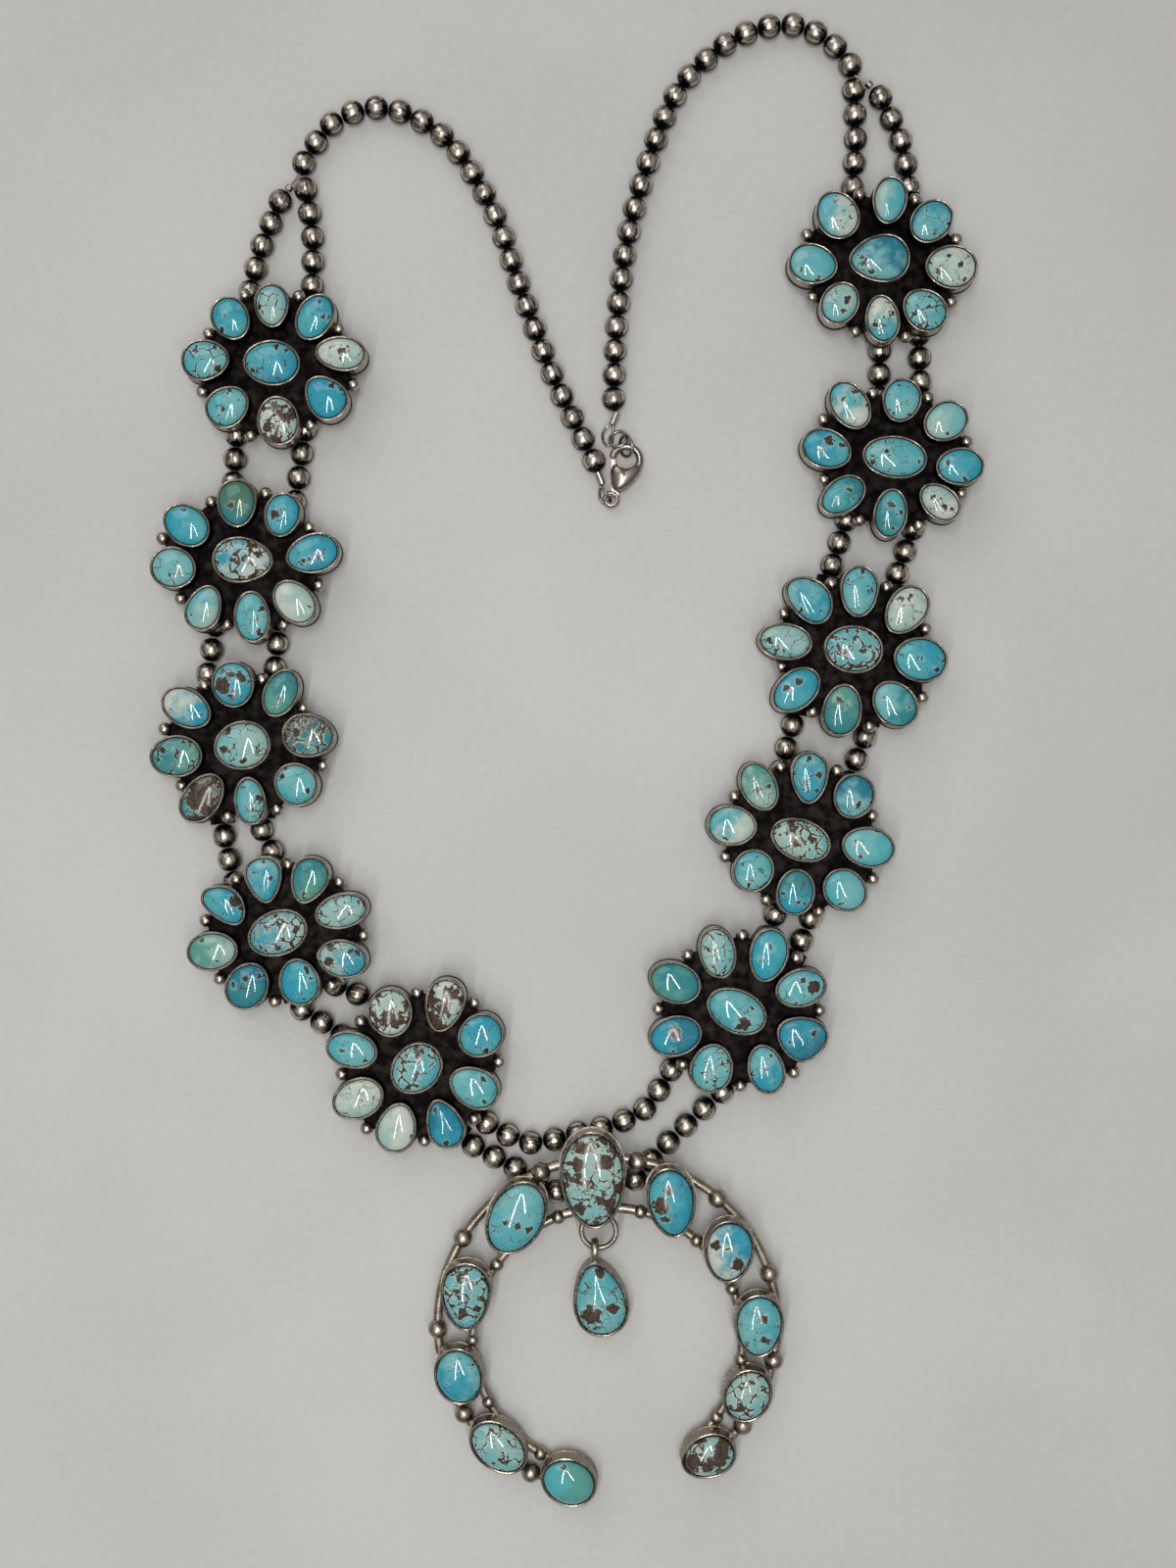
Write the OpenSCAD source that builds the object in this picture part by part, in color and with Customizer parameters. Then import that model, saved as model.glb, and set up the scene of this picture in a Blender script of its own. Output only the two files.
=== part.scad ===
// Squash blossom necklace, lying flat as it rests on a table.
// +Z is up, the clasp end points to +Y and the crescent hangs towards -Y.

/* [Beads and thread] */
// Diameter of a bead
bead_d = 4.7; // [4:0.1:5]
// Bore through a bead
bead_bore = 2.2; // [1.6:0.1:2.4]
// Least gap between two beads
bead_gap = 0.12; // [0.1:0.01:0.4]
// Diameter of the stringing thread
thread_d = 0.4; // [0.3:0.05:0.6]
// Diameter of a crimp at a fork
fork_crimp_d = 1.5; // [1.2:0.1:2]
// Length of a crimp at a fork
fork_crimp_l = 1; // [0.8:0.1:1.4]

/* [Clusters] */
// Length of a petal's cup, which the outlines of a cluster follow
petal_l = 9.82; // [8:0.02:10.4]
// Free height between the beads and the plate above them
bead_lift = 0.2; // [0.15:0.05:1]
// Thickness of the back plates
plate_t = 0.6; // [0.4:0.1:1.2]
// Height of a petal's cup above its plate
cup_h = 3.6; // [2.5:0.1:5]
// Wall of a petal's cup
cup_wall = 0.35; // [0.25:0.05:0.6]
// Margin of the back plate round a petal
plate_margin = 0.15; // [0:0.05:0.5]
// Diameter of the silver balls between petals
ball_d = 2.4; // [1.8:0.1:3]
// Wall of the stringing tubes on the back
tube_wall = 0.7; // [0.4:0.1:1]

/* [Stones] */
// Gap between a stone and its cup
stone_gap = 0.12; // [0.1:0.01:0.3]
// Drop of a stone's girdle below the rim of its cup
girdle_drop = 0.25; // [0:0.05:1]
// Rise of a petal stone's dome above its girdle
petal_dome = 1.6; // [0.8:0.1:3]
// Rise of a middle stone's dome above its girdle
center_dome = 2; // [0.8:0.1:3.5]
// Rise of the crescent's domes above their girdles
naja_dome = 2.3; // [0.8:0.1:4]

/* [Crescent] */
// Radius of the outer wire's middle line
naja_r = 34.5; // [32:0.5:36]
// How much smaller the inner wire's radius is
wire_step = 7.1; // [6.6:0.1:7.8]
// How far the inner wire's centre lies below the outer one's
naja_shift = 3.1; // [2.6:0.1:3.6]
// Diameter of the two wires
wire_d = 2; // [1.4:0.1:2.4]
// Height of the crescent's cups above their plates
naja_cup_h = 3.2; // [2.5:0.1:4.5]
// Wall of the crescent's cups
naja_cup_wall = 0.45; // [0.3:0.05:0.7]
// Diameter of the balls on the outer wire
outer_ball_d = 3.4; // [2.4:0.1:4]
// Diameter of the balls on the inner wire
inner_ball_d = 2.5; // [2:0.1:3]
// Outer diameter of the loop that holds the drop
loop_d = 7.8; // [7:0.1:8.6]
// Diameter of the loop's wire
loop_wire = 0.8; // [0.6:0.1:1.1]
// Height of the drop's cup above its plate
drop_cup_h = 4; // [3:0.1:5]
// Bore of the drop's bail
bail_bore = 2.8; // [2.6:0.1:3.2]
// Diameter of the bail's wire
bail_wire = 0.9; // [0.6:0.1:1.1]

/* [Clasp] */
// Width of the clasp
clasp_w = 7; // [6.6:0.1:8]
// Thickness of the clasp's body
clasp_t = 2.8; // [2.6:0.1:3.4]
// Diameter of the hook's round section
hook_d = 1.4; // [1:0.1:1.5]
// Thickness of the lever
lever_t = 1.2; // [0.8:0.1:1.4]
// Play on each side of the lever
lever_play = 0.15; // [0.1:0.05:0.3]
// Diameter of the lever's pin
pin_d = 0.7; // [0.5:0.05:0.9]
// Radial play of the lever on its pin
pin_play = 0.08; // [0.05:0.01:0.15]
// Diameter of a jump ring's wire
ring_wire = 0.45; // [0.35:0.05:0.55]
// Mean diameter of the jump ring on the wire loop
chain_ring_d = 3.7; // [3.4:0.1:4]
// Mean diameter of the jump ring on the hook
hook_ring_d = 4.2; // [4:0.1:4.6]
// Outer diameter of the crimp tubes
crimp_d = 1.1; // [0.9:0.05:1.4]

/* [Hidden] */

// The lengths below are laid out round the middle of the neck opening.
// This shift brings the middle of the whole outline to the origin.
layout_shift = [4.4, -5.6, 0];

silver = [0.77, 0.76, 0.73];
dark_silver = [0.24, 0.24, 0.23];
thread_grey = [0.5, 0.5, 0.5];
teal = [0.16, 0.49, 0.52];
green = [0.27, 0.48, 0.42];
pale = [0.52, 0.66, 0.64];
brown = [0.42, 0.37, 0.3];

// Chosen points of each run of beads, from the clasp towards the crescent.
RUN_NECK_LEFT = [[1.2, 66], [-7.2, 83.4], [-14, 101.7], [-18.7, 115.5], [-26.1, 128.4],
    [-33.5, 135], [-43, 138], [-52.3, 134.7], [-58, 126.7]];
RUN_NECK_RIGHT = [[5.2, 78.6], [5.8, 93.3], [8, 111], [12.3, 126.9], [17.6, 140.2],
    [24.2, 147.9], [32, 153.1], [41.7, 154.9], [49.2, 151.6], [53.5, 146.7]];
RUNS_LEFT_INNER = [
    [[-57.6, 121.3], [-56.2, 111.6], [-56.3, 101.6]],
    [[-57.7, 72.3], [-59.8, 57.6]],
    [[-62.9, 33.6], [-63.9, 23.7]],
    [[-66.5, -9.3], [-62.2, -18.1]],
    [[-51.6, -41], [-42.5, -44.7]],
    [[-20.6, -69.1], [-12, -73.2], [-2.1, -71.2]]];
RUNS_LEFT_OUTER = [
    [[-62.8, 118.9], [-66.5, 109.9], [-69, 100.4]],
    [[-71.7, 71.2], [-72.4, 61.4]],
    [[-76, 32.4], [-77.6, 22.4]],
    [[-74.2, -10.6], [-72.2, -20.2]],
    [[-58.4, -45.9], [-50.2, -51.3]],
    [[-23.4, -73.8], [-14.9, -78.4], [-6.4, -83.1]]];
RUNS_RIGHT_INNER = [
    [[54.2, 141.5], [54.6, 131.3], [54, 121.7]],
    [[59.5, 88.4], [59.4, 78.7]],
    [[52.7, 53.9], [49.8, 44.6]],
    [[41.7, 12], [39.2, 2.6]],
    [[40.1, -22.1], [36.2, -31.2]],
    [[17, -58.3], [11.2, -66.7], [2.7, -70.2]]];
RUNS_RIGHT_OUTER = [
    [[59.7, 140.1], [63.9, 131], [65.5, 121.6]],
    [[67.5, 91.8], [67.8, 82]],
    [[66.3, 52.1], [63.1, 42.9]],
    [[56.5, 9.6], [53, 0.4]],
    [[47.1, -22.7], [43.6, -31.9]],
    [[27.4, -62.8], [16.5, -73], [9.6, -80.6]]];
// Where the outer thread leaves the last neck bead, and its crimp, at each fork.
FORK_LEFT = [[-58.7, 124.7], [-61, 121.6]];
FORK_RIGHT = [[54.3, 144.7], [57.4, 142.7]];
// Ends of the two crimp tubes at the clasp.
CRIMP_LEFT = [[2, 63.6, 2.35], [2.9, 61.2, 2.2]];
CRIMP_RIGHT = [[5.9, 75.7, 2.35], [4.9, 73.4, 2.35]];
// Wire loop from the left crimp, down through the clasp's eye and back.
LOOP_LEFT = [[2.76, 61.6, 2.36], [3.05, 60.3, 2.7], [3.7, 59.2, 2.75], [4.4, 58.5, 2.2],
    [4.6, 58.2, 1.3], [4.2, 57.6, 0.5], [3.1, 57.6, 0.35], [2.4, 58.8, 0.6],
    [2.4, 60.2, 1.5], [2.76, 61.6, 2.1]];
// Wire loop from the right crimp, under the jump ring and up through it.
LOOP_RIGHT = [[4.95, 73.75, 2.3], [3.8, 72.8, 2.3], [3, 71.6, 1.7], [3.1, 70.3, 0.9],
    [3.8, 69.4, 0.55], [4.7, 69.6, 0.7], [5.05, 70.8, 1.5], [5.05, 72.2, 2.2],
    [5.12, 73.75, 2.4]];

// A stone's outline is a row of: x and y of its middle, length and width as shares of the
// size named with the table, the turn of its wide end in degrees, and its taper.
// In a cluster a row goes on with x and y of a ball beside the petal, and may end in a bend.
X = 0;
Y = 1;
LENGTH = 2;
WIDTH = 3;
TURN = 4;
TAPER = 5;
BALL_X = 6;
BALL_Y = 7;
BEND = 8;

// A cluster: its place, its middle stone, then its eight petals as shares of petal_l.
CLUSTER_L1 = [[-63.4, 84.5], [0, -0.01, 1.17, 0.93, -4, 0.04], [
    [0, 1.16, 0.9, 0.71, 93, 0.12, -0.6, 1.45],
    [0.88, 0.92, 1.01, 0.75, 60, 0.05, 0.51, 1.42],
    [1.41, 0.18, 1.05, 0.71, -5, 0.1, 1.33, 0.75],
    [1.1, -0.71, 0.98, 0.82, -48, 0.2, 1.63, -0.39],
    [0.13, -1.19, 1.01, 0.87, -82, 0.05, 0.76, -1.23],
    [-0.9, -0.9, 0.94, 0.82, 215, 0.12, -0.48, -1.44],
    [-1.35, 0.05, 0.99, 0.84, 185, 0.15, -1.47, -0.54],
    [-0.84, 0.9, 0.92, 0.78, 118, 0.05, -1.34, 0.65]]];
CLUSTER_L2 = [[-69.3, 45.2], [0.01, -0.03, 1.25, 0.93, 178, 0.15], [
    [-0.11, 1.13, 0.99, 0.81, 92, 0.12, -0.69, 1.2],
    [0.82, 0.89, 0.92, 0.75, 76, 0.08, 0.43, 1.37],
    [1.44, 0.1, 1.12, 0.81, 14, 0.12, 1.33, 0.67],
    [1.07, -0.89, 1.03, 0.79, -45, 0.05, 1.52, -0.51],
    [0.2, -1.19, 1.06, 0.75, -86, 0.03, 0.81, -1.33],
    [-0.78, -1.01, 0.97, 0.73, 248, 0.15, -0.36, -1.32],
    [-1.41, -0.19, 0.95, 0.86, 170, 0.03, -1.32, -0.79],
    [-1.14, 0.68, 1.02, 0.82, -35, 0.05, -1.69, 0.45]]];
CLUSTER_L3 = [[-69.3, 7.7], [0, 0, 1.17, 1, 10, 0.04], [
    [-0.19, 1.25, 0.96, 0.88, 100, 0.05, -0.83, 1.24],
    [0.79, 1.07, 1.03, 0.72, 64, 0.03, 0.36, 1.37],
    [1.35, 0.2, 1.09, 0.9, 172, 0.08, 1.2, 0.78],
    [1.1, -0.79, 0.94, 0.87, -35, 0.06, 1.61, -0.4],
    [0.16, -1.13, 0.99, 0.66, -83, 0.05, 0.66, -1.3],
    [-0.82, -1.07, 1.13, 0.78, 232, 0.06, -0.35, -1.45],
    [-1.35, -0.22, 1.08, 0.86, 3, 0.03, -1.3, -0.82],
    [-1.14, 0.77, 1.09, 0.79, 150, 0.04, -1.65, 0.35]]];
CLUSTER_L4 = [[-61.9, -29.5], [-0.03, -0.04, 1.26, 0.93, 20, 0.03], [
    [-0.31, 1.05, 0.97, 0.74, 98, 0.32, -0.93, 1.05],
    [0.61, 1.04, 0.99, 0.77, 70, 0.25, 0.14, 1.35],
    [1.27, 0.41, 1.11, 0.73, 14, 0.05, 1.19, 0.99],
    [1.29, -0.56, 1.05, 0.79, -12, 0.04, 1.69, -0.1],
    [0.41, -1.04, 0.98, 0.84, -75, 0.06, 1.04, -1.13],
    [-0.65, -1.12, 1.01, 0.87, 238, 0.06, -0.14, -1.47],
    [-1.36, -0.41, 1.05, 0.81, 185, 0.06, -1.27, -1],
    [-1.13, 0.53, 1.01, 0.68, -36, 0, -1.56, 0.2, 0.5]]];
CLUSTER_L5 = [[-34.4, -56.8], [0, -0.02, 1.15, 0.98, 42, 0.03], [
    [-0.54, 1.12, 1.01, 0.93, 100, 0.03, -0.01, 1.49],
    [0.57, 1.27, 1.12, 0.8, 75, 0.22, 1.17, 1.29],
    [1.31, 0.65, 0.97, 0.89, 30, 0.05, 1.67, 0.08],
    [1.18, -0.41, 1.08, 0.83, -28, 0.12, 1.17, -1.1],
    [0.57, -1.15, 1.05, 0.75, -68, 0.25, 0.14, -1.55],
    [-0.4, -1.23, 1.04, 0.83, 256, 0.16, -1.05, -1.3],
    [-1.19, -0.64, 1.09, 0.84, 22, 0.03, -1.56, -0.18],
    [-1.32, 0.36, 1.08, 0.76, -12, 0.03, -1.17, 0.9]]];
CLUSTER_R1 = [[59.5, 105.1], [-0.11, 0.02, 1.25, 0.97, 5, 0.22], [
    [0.1, 1.21, 0.98, 0.71, 82, 0.08, -0.47, 1.41],
    [0.95, 0.78, 0.97, 0.81, 45, 0.02, 0.67, 1.31],
    [1.36, -0.15, 1.07, 0.9, -3, 0.08, 1.51, 0.49],
    [0.82, -1.03, 0.97, 0.84, -38, 0.06, 1.41, -0.79],
    [-0.05, -1.21, 0.99, 0.71, -83, 0.08, 0.47, -1.5],
    [-0.92, -0.89, 0.91, 0.78, 238, 0.03, -0.57, -1.4],
    [-1.47, -0.09, 1.02, 0.83, 168, 0.1, -1.45, -0.69],
    [-0.97, 0.91, 1.02, 0.88, 298, 0.05, -1.56, 0.59]]];
CLUSTER_R2 = [[61.3, 65.8], [0.02, -0.03, 1.33, 0.87, -7, 0.03], [
    [0.16, 1.13, 0.91, 0.8, 75, 0.08, -0.39, 1.33],
    [1.06, 0.7, 0.95, 0.81, 28, 0.06, 0.75, 1.24],
    [1.35, -0.22, 0.99, 0.77, 3, 0.06, 1.54, 0.34],
    [0.94, -0.95, 0.94, 0.69, -38, 0.06, 1.44, -0.73],
    [-0.07, -1.18, 1.03, 0.7, 262, 0.05, 0.56, -1.38],
    [-1.04, -0.81, 1.02, 0.72, 35, 0.04, -0.66, -1.27],
    [-1.38, 0.14, 1.06, 0.81, 160, 0.05, -1.39, -0.44],
    [-0.9, 1.03, 1.08, 0.78, 125, 0.02, -1.41, 0.79]]];
CLUSTER_R3 = [[52.8, 26.9], [0.04, 0.01, 1.22, 0.98, -6, 0.03], [
    [0.16, 1.19, 1.07, 0.79, 87, 0.12, -0.37, 1.38],
    [1.12, 0.81, 1.09, 0.82, 53, 0.12, 0.76, 1.31],
    [1.41, -0.2, 1.11, 0.92, -8, 0.04, 1.56, 0.45],
    [0.89, -1.11, 1.05, 0.86, -48, 0.04, 1.5, -0.96],
    [-0.19, -1.23, 1.09, 0.82, 260, 0.08, 0.41, -1.55],
    [-1.13, -0.82, 1.12, 0.79, 40, 0.02, -0.76, -1.25],
    [-1.35, 0.17, 1.11, 0.76, -8, 0.02, -1.4, -0.32],
    [-0.87, 1.02, 1.12, 0.82, -45, 0.05, -1.35, 0.77, 0.3]]];
CLUSTER_R4 = [[43.2, -10.4], [-0.06, -0.08, 1.27, 0.86, -20, 0.03], [
    [0.12, 1.19, 1.08, 0.77, 88, 0.2, -0.44, 1.41],
    [1.03, 0.81, 0.94, 0.85, 70, 0.04, 0.72, 1.33],
    [1.32, -0.23, 1.1, 0.84, -10, 0.06, 1.45, 0.41],
    [0.85, -1.11, 0.96, 0.85, 140, 0.05, 1.46, -0.89],
    [-0.16, -1.15, 0.97, 0.8, 262, 0.03, 0.35, -1.56],
    [-1.03, -0.71, 0.9, 0.85, 60, 0.02, -0.74, -1.31],
    [-1.46, 0.21, 1.03, 0.84, 175, 0.08, -1.58, -0.43],
    [-0.91, 1.01, 1.06, 0.75, 117, 0.02, -1.39, 0.81]]];
CLUSTER_R5 = [[29.9, -45.2], [-0.01, -0.03, 1.29, 0.9, -25, 0.03], [
    [-0.4, 1.16, 1.07, 0.77, 102, 0.03, 0.13, 1.49],
    [0.64, 1.11, 1.12, 0.8, 76, 0.1, 1.24, 1.03],
    [1.3, 0.44, 1.07, 0.79, 15, 0.03, 1.72, -0.05],
    [1.33, -0.61, 0.93, 1.03, 85, 0.25, 1.19, -1.33],
    [0.59, -1.22, 1.04, 0.76, -74, 0.05, 0.09, -1.6],
    [-0.52, -1.2, 1.03, 0.88, 255, 0.06, -1.1, -1.16],
    [-1.26, -0.54, 1.1, 0.83, 15, 0, -1.6, -0.02],
    [-1.27, 0.55, 1.09, 0.85, -20, 0.02, -0.99, 1.09]]];
CLUSTERS_LEFT = [CLUSTER_L1, CLUSTER_L2, CLUSTER_L3, CLUSTER_L4, CLUSTER_L5];
CLUSTERS_RIGHT = [CLUSTER_R1, CLUSTER_R2, CLUSTER_R3, CLUSTER_R4, CLUSTER_R5];

// The crescent: places and lengths as shares of naja_r, from the outer wire's centre.
NAJA_PLACE = [4, -109.7];
// Where its underside clears the highest bead below it.
NAJA_OVER_BEADS = 0.887;
NAJA_TOP = [-0.087, 0.904, 0.574, 0.38, 93, 0.12];
NAJA_LEFT = [
    [-0.533, 0.681, 0.461, 0.33, 62, 0.03],
    [-0.826, 0.212, 0.406, 0.293, 90, 0.2],
    [-0.87, -0.264, 0.345, 0.287, 105, 0],
    [-0.641, -0.69, 0.383, 0.275, -40, 0],
    [-0.229, -0.901, 0.339, 0.287, -25, 0.05]];
NAJA_RIGHT = [
    [0.368, 0.771, 0.414, 0.284, 98, 0.12],
    [0.704, 0.481, 0.371, 0.293, 85, 0.1],
    [0.881, 0.038, 0.377, 0.287, 88, 0.1],
    [0.817, -0.38, 0.328, 0.284, 62, 0],
    [0.591, -0.745, 0.333, 0.264, 22, 0.08]];
DROP = [-0.046, 0.148, 0.443, 0.319, -78, 0.22];
// Angles of the balls along the outer and the inner wire.
OUTER_BALLS = [113, 148, 181, 212, 243, 80, 50, 18.5, -12, -37];
INNER_BALLS = [111.5, 145, 180, 208, 240, 76, 49, 23, -8.5, -36];
// Angles at which the wires start and end.
WIRE_START = -50;
WIRE_END = 254;
// Middle of the drop's loop, how far below it the bail's middle lies, and its height.
LOOP_SHARE = [-0.0522, 0.571];
LOOP_PLACE = NAJA_PLACE + naja_r * LOOP_SHARE;
BAIL_DROP = 4.15;
BAIL_Z = 5.6;
// Slope at which the bail's stem meets it.
STEM_SLOPE = 46;

// The clasp: places as shares of half its width, from the middle of the hook.
CLASP_PLACE = [7.8, 66.3];
CLASP_BODY = [[-0.86, -0.52], [-0.9, -1.09], [-0.83, -1.57], [-0.63, -1.84], [-0.34, -1.87],
    [0.11, -1.63], [0.57, -1.14], [0.89, -0.57], [0.6, -0.3], [0, -0.5], [-0.6, -0.3]];
CLASP_HOLE = 0.56;
CLASP_PIVOT = [-0.66, -0.92];
CLASP_EYE = [-0.88, -2.31];
EYE_R = 0.46;
EYE_BORE = 0.24;
HOOK_START = -50;
HOOK_END = 170;
LEVER_TIP = [-0.77, -0.1];
LEVER_R = 0.13;
LEVER_BOSS_R = 0.21;
// Outline of the slot that the lever turns in, from its pivot.
CLASP_SLOT = [[-0.6, -0.3], [0.1, -0.36], [0.4, 0.05], [0.9, 0.9], [-0.6, 0.9]];
// Middles and tilts of the two jump rings.
RING_CHAIN_PLACE = [6.19, 70.52, 1.68];
RING_CHAIN_TILT = 29.5;
RING_CHAIN_TURN = -59.2;
RING_HOOK_PLACE = [7.75, 69.03, 2.1];
RING_HOOK_TILT = 56.2;
RING_HOOK_TURN = 11.4;

stone_sides = 14;
cup_sides = 32;
wire_sides = 5;
solder = 0.1;
// Width of the seat under a ball, as a share of the ball.
ball_seat = 0.7;
pitch = bead_d + bead_gap;
bead_z = bead_d / 2;
plate_z = bead_d + bead_lift;
tube_d = plate_z + solder;
cup_z = plate_z + plate_t;
rim_z = cup_z + cup_h;

naja_inner_r = naja_r - wire_step;
// Height of the crescent's own floor, and the tilt that lays its tips on the table.
naja_low_y = -naja_r - wire_d / 2;
naja_over_beads_y = naja_r * NAJA_OVER_BEADS;
naja_tilt = asin((bead_d + bead_lift + stone_gap / 2) / (naja_over_beads_y - naja_low_y));
naja_plate_z = 0.8 * wire_d;

// Curves through chosen points.
function curve_point(p, i, t) =
    let (a = p[max(i - 1, 0)], b = p[i], c = p[i + 1], d = p[min(i + 2, len(p) - 1)])
    0.5 * (2 * b + t * (c - a) + t * t * (2 * a - 5 * b + 4 * c - d)
        + t * t * t * (3 * b - 3 * c + d - a));
function curve(p, steps = 8) = [
    for (i = [0:len(p) - 2], k = [0:steps - 1]) curve_point(p, i, k / steps), p[len(p) - 1]];
function reach(p, i = 0, sum = 0) =
    i >= len(p) - 1 ? [sum] : concat([sum], reach(p, i + 1, sum + norm(p[i + 1] - p[i])));
function bead_places(run) =
    let (p = curve(run), s = reach(p), total = s[len(s) - 1],
        n = max(1, floor(total / pitch + 0.002)),
        xs = [for (i = [0:len(p) - 1]) [s[i], p[i][X]]],
        ys = [for (i = [0:len(p) - 1]) [s[i], p[i][Y]]])
    [for (k = [0:n]) [lookup(total * k / n, xs), lookup(total * k / n, ys), bead_z]];
function unit(v) = v / norm(v);
function flat(v) = [v[X], v[Y]];
function at_z(v, z) = [v[X], v[Y], z];

// Bead centres of a strand, run by run, and as one list.
function strand(runs) = [for (r = runs) bead_places(r)];
function joined(lists) = [for (l = lists, p = l) p];

neck_left = bead_places(RUN_NECK_LEFT);
neck_right = bead_places(RUN_NECK_RIGHT);
left_inner = strand(RUNS_LEFT_INNER);
left_outer = strand(RUNS_LEFT_OUTER);
right_inner = strand(RUNS_RIGHT_INNER);
right_outer = strand(RUNS_RIGHT_OUTER);

function crimp_middle(ends) = (ends[0] + ends[1]) / 2;
function backwards(l) = [for (i = [len(l) - 1:-1:0]) l[i]];

// The inner thread runs from crimp to crimp, the outer one from fork to fork.
inner_route = concat(
    [crimp_middle(CRIMP_LEFT), CRIMP_LEFT[0]], neck_left, joined(left_inner),
    backwards(joined(right_inner)), backwards(neck_right),
    [CRIMP_RIGHT[0], crimp_middle(CRIMP_RIGHT)]);
outer_route = concat(
    [for (p = FORK_LEFT) at_z(p, bead_z)], joined(left_outer),
    backwards(joined(right_outer)), [for (p = backwards(FORK_RIGHT)) at_z(p, bead_z)]);

// Sides of a swept wire, each carried on from the one before it without a twist.
function carried(dirs, side, i = 0) =
    i >= len(dirs) ? []
    : let (s = unit(side - (side * dirs[i]) * dirs[i])) concat([s], carried(dirs, s, i + 1));

// A wire swept along a route as one closed skin.
module wire(route, d) {
    n = wire_sides;
    last = len(route) - 1;
    dirs = [for (i = [0:last]) unit(route[min(i + 1, last)] - route[max(i - 1, 0)])];
    sides = carried(dirs, cross(dirs[0], [0, 0, 1]));
    rings = [for (i = [0:last])
        let (side = sides[i], top = cross(side, dirs[i]))
        for (k = [0:n - 1])
            let (a = 360 * k / n) route[i] + d / 2 * (cos(a) * side + sin(a) * top)];
    first_cap = [for (k = [n - 1:-1:0]) k];
    last_cap = [for (k = [0:n - 1]) last * n + k];
    walls = [for (i = [0:last - 1], k = [0:n - 1])
        let (k2 = (k + 1) % n, a = i * n, b = a + n)
        each [[a + k, a + k2, b + k], [a + k2, b + k2, b + k]]];
    polyhedron(points = rings, faces = concat([first_cap, last_cap], walls));
}

// Points across a stone's outline, with its edge moved in by inset.
function outline(row, size, inset, sides) =
    let (l = row[LENGTH] * size / 2 - inset, w = row[WIDTH] * size / 2 - inset,
        bend = is_undef(row[BEND]) ? 0 : row[BEND], turn = row[TURN])
    [for (k = [0:sides - 1])
        let (t = 360 * k / sides, u = l * cos(t),
            v = w * (sin(t) * (1 + row[TAPER] * cos(t)) + bend * (0.25 - cos(t) * cos(t) / 2)))
        [row[X] * size + u * cos(turn) - v * sin(turn),
            row[Y] * size + u * sin(turn) + v * cos(turn)]];

// A cabochon: straight side from its base to its girdle, then a dome.
module cabochon(row, size, inset, base, girdle, dome, shells) {
    n = stone_sides;
    edge = outline(row, size, inset, n);
    middle = [row[X], row[Y]] * size;
    domes = [for (s = [0:shells]) let (a = 72 * s / shells) [cos(a), girdle + dome * sin(a)]];
    levels = concat([[1, base]], domes);
    points = concat(
        [for (level = levels, p = edge)
            let (q = middle + level[0] * (p - middle)) [q[X], q[Y], level[1]]],
        [[middle[X], middle[Y], girdle + dome]]);
    top = len(levels) - 1;
    tip = len(points) - 1;
    base_face = [[for (k = [0:n - 1]) k]];
    side_faces = [for (i = [0:top - 1], k = [0:n - 1])
        let (k2 = (k + 1) % n, a = i * n, b = a + n)
        each [[a + k2, a + k, b + k], [a + k2, b + k, b + k2]]];
    top_faces = [for (k = [0:n - 1]) [top * n + (k + 1) % n, top * n + k, tip]];
    polyhedron(points = points, faces = concat(base_face, side_faces, top_faces));
}

// A cup's wall, standing from low to high.
module cup(row, size, wall, low, high) {
    translate([0, 0, low])
        linear_extrude(high - low)
            difference() {
                polygon(outline(row, size, 0, cup_sides));
                polygon(outline(row, size, wall, cup_sides));
            }
}

// A cup with its floor, as one block with a pocket.
module floored_cup(row, size, wall, low, floor_z, high) {
    difference() {
        translate([0, 0, low]) linear_extrude(high - low) polygon(outline(row, size, 0, cup_sides));
        translate([0, 0, floor_z]) linear_extrude(high) polygon(outline(row, size, wall, cup_sides));
    }
}

// A rod or bore from one point to another.
module rod(from, to, d) {
    along = to - from;
    translate(from)
        rotate([0, acos(along[2] / norm(along)), atan2(along[Y], along[X])])
            cylinder(d = d, h = norm(along), $fn = 32);
}

// The two bead centres that a stringing tube lies between, as its own two ends.
function tube_ends(from, to) =
    let (way = unit(to - from), clear = bead_d / 2 + bead_gap)
    [from + clear * way, to - clear * way];

module tube(ends, d) {
    lift = [0, 0, tube_d / 2 - bead_z];
    way = unit(ends[1] - ends[0]);
    difference() {
        rod(ends[0] + lift, ends[1] + lift, d);
        rod(ends[0] + lift - way, ends[1] + lift + way, d - 2 * tube_wall);
    }
}

function last(list) = list[len(list) - 1];

module cluster(c, inner, outer, i) {
    petals = c[2];
    place = at_z(c[0], 0);
    color(dark_silver) translate(place)
        translate([0, 0, plate_z])
            linear_extrude(plate_t)
                union() {
                    polygon([for (p = petals) [p[BALL_X], p[BALL_Y]] * petal_l]);
                    for (p = petals)
                        translate([p[BALL_X], p[BALL_Y]] * petal_l)
                            circle(d = ball_seat * ball_d, $fn = 24);
                    for (p = petals) polygon(outline(p, petal_l, -plate_margin, cup_sides));
                }
    color(silver) translate(place) {
        for (p = concat([c[1]], petals)) cup(p, petal_l, cup_wall, cup_z - solder, rim_z);
        for (p = petals)
            translate([p[BALL_X] * petal_l, p[BALL_Y] * petal_l, plate_z + ball_d / 2])
                sphere(d = ball_d, $fn = 36);
    }
    color(dark_silver)
        for (s = [inner, outer]) tube(tube_ends(last(s[i]), s[i + 1][0]), tube_d);
}

module petals(c) {
    translate(at_z(c[0], 0))
        for (i = [0:len(c[2]) - 1])
            color([teal, pale, green, teal, brown, pale, teal, green][i])
                cabochon(c[2][i], petal_l, cup_wall + stone_gap, cup_z + stone_gap,
                    rim_z - girdle_drop, petal_dome, 2);
}

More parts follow.
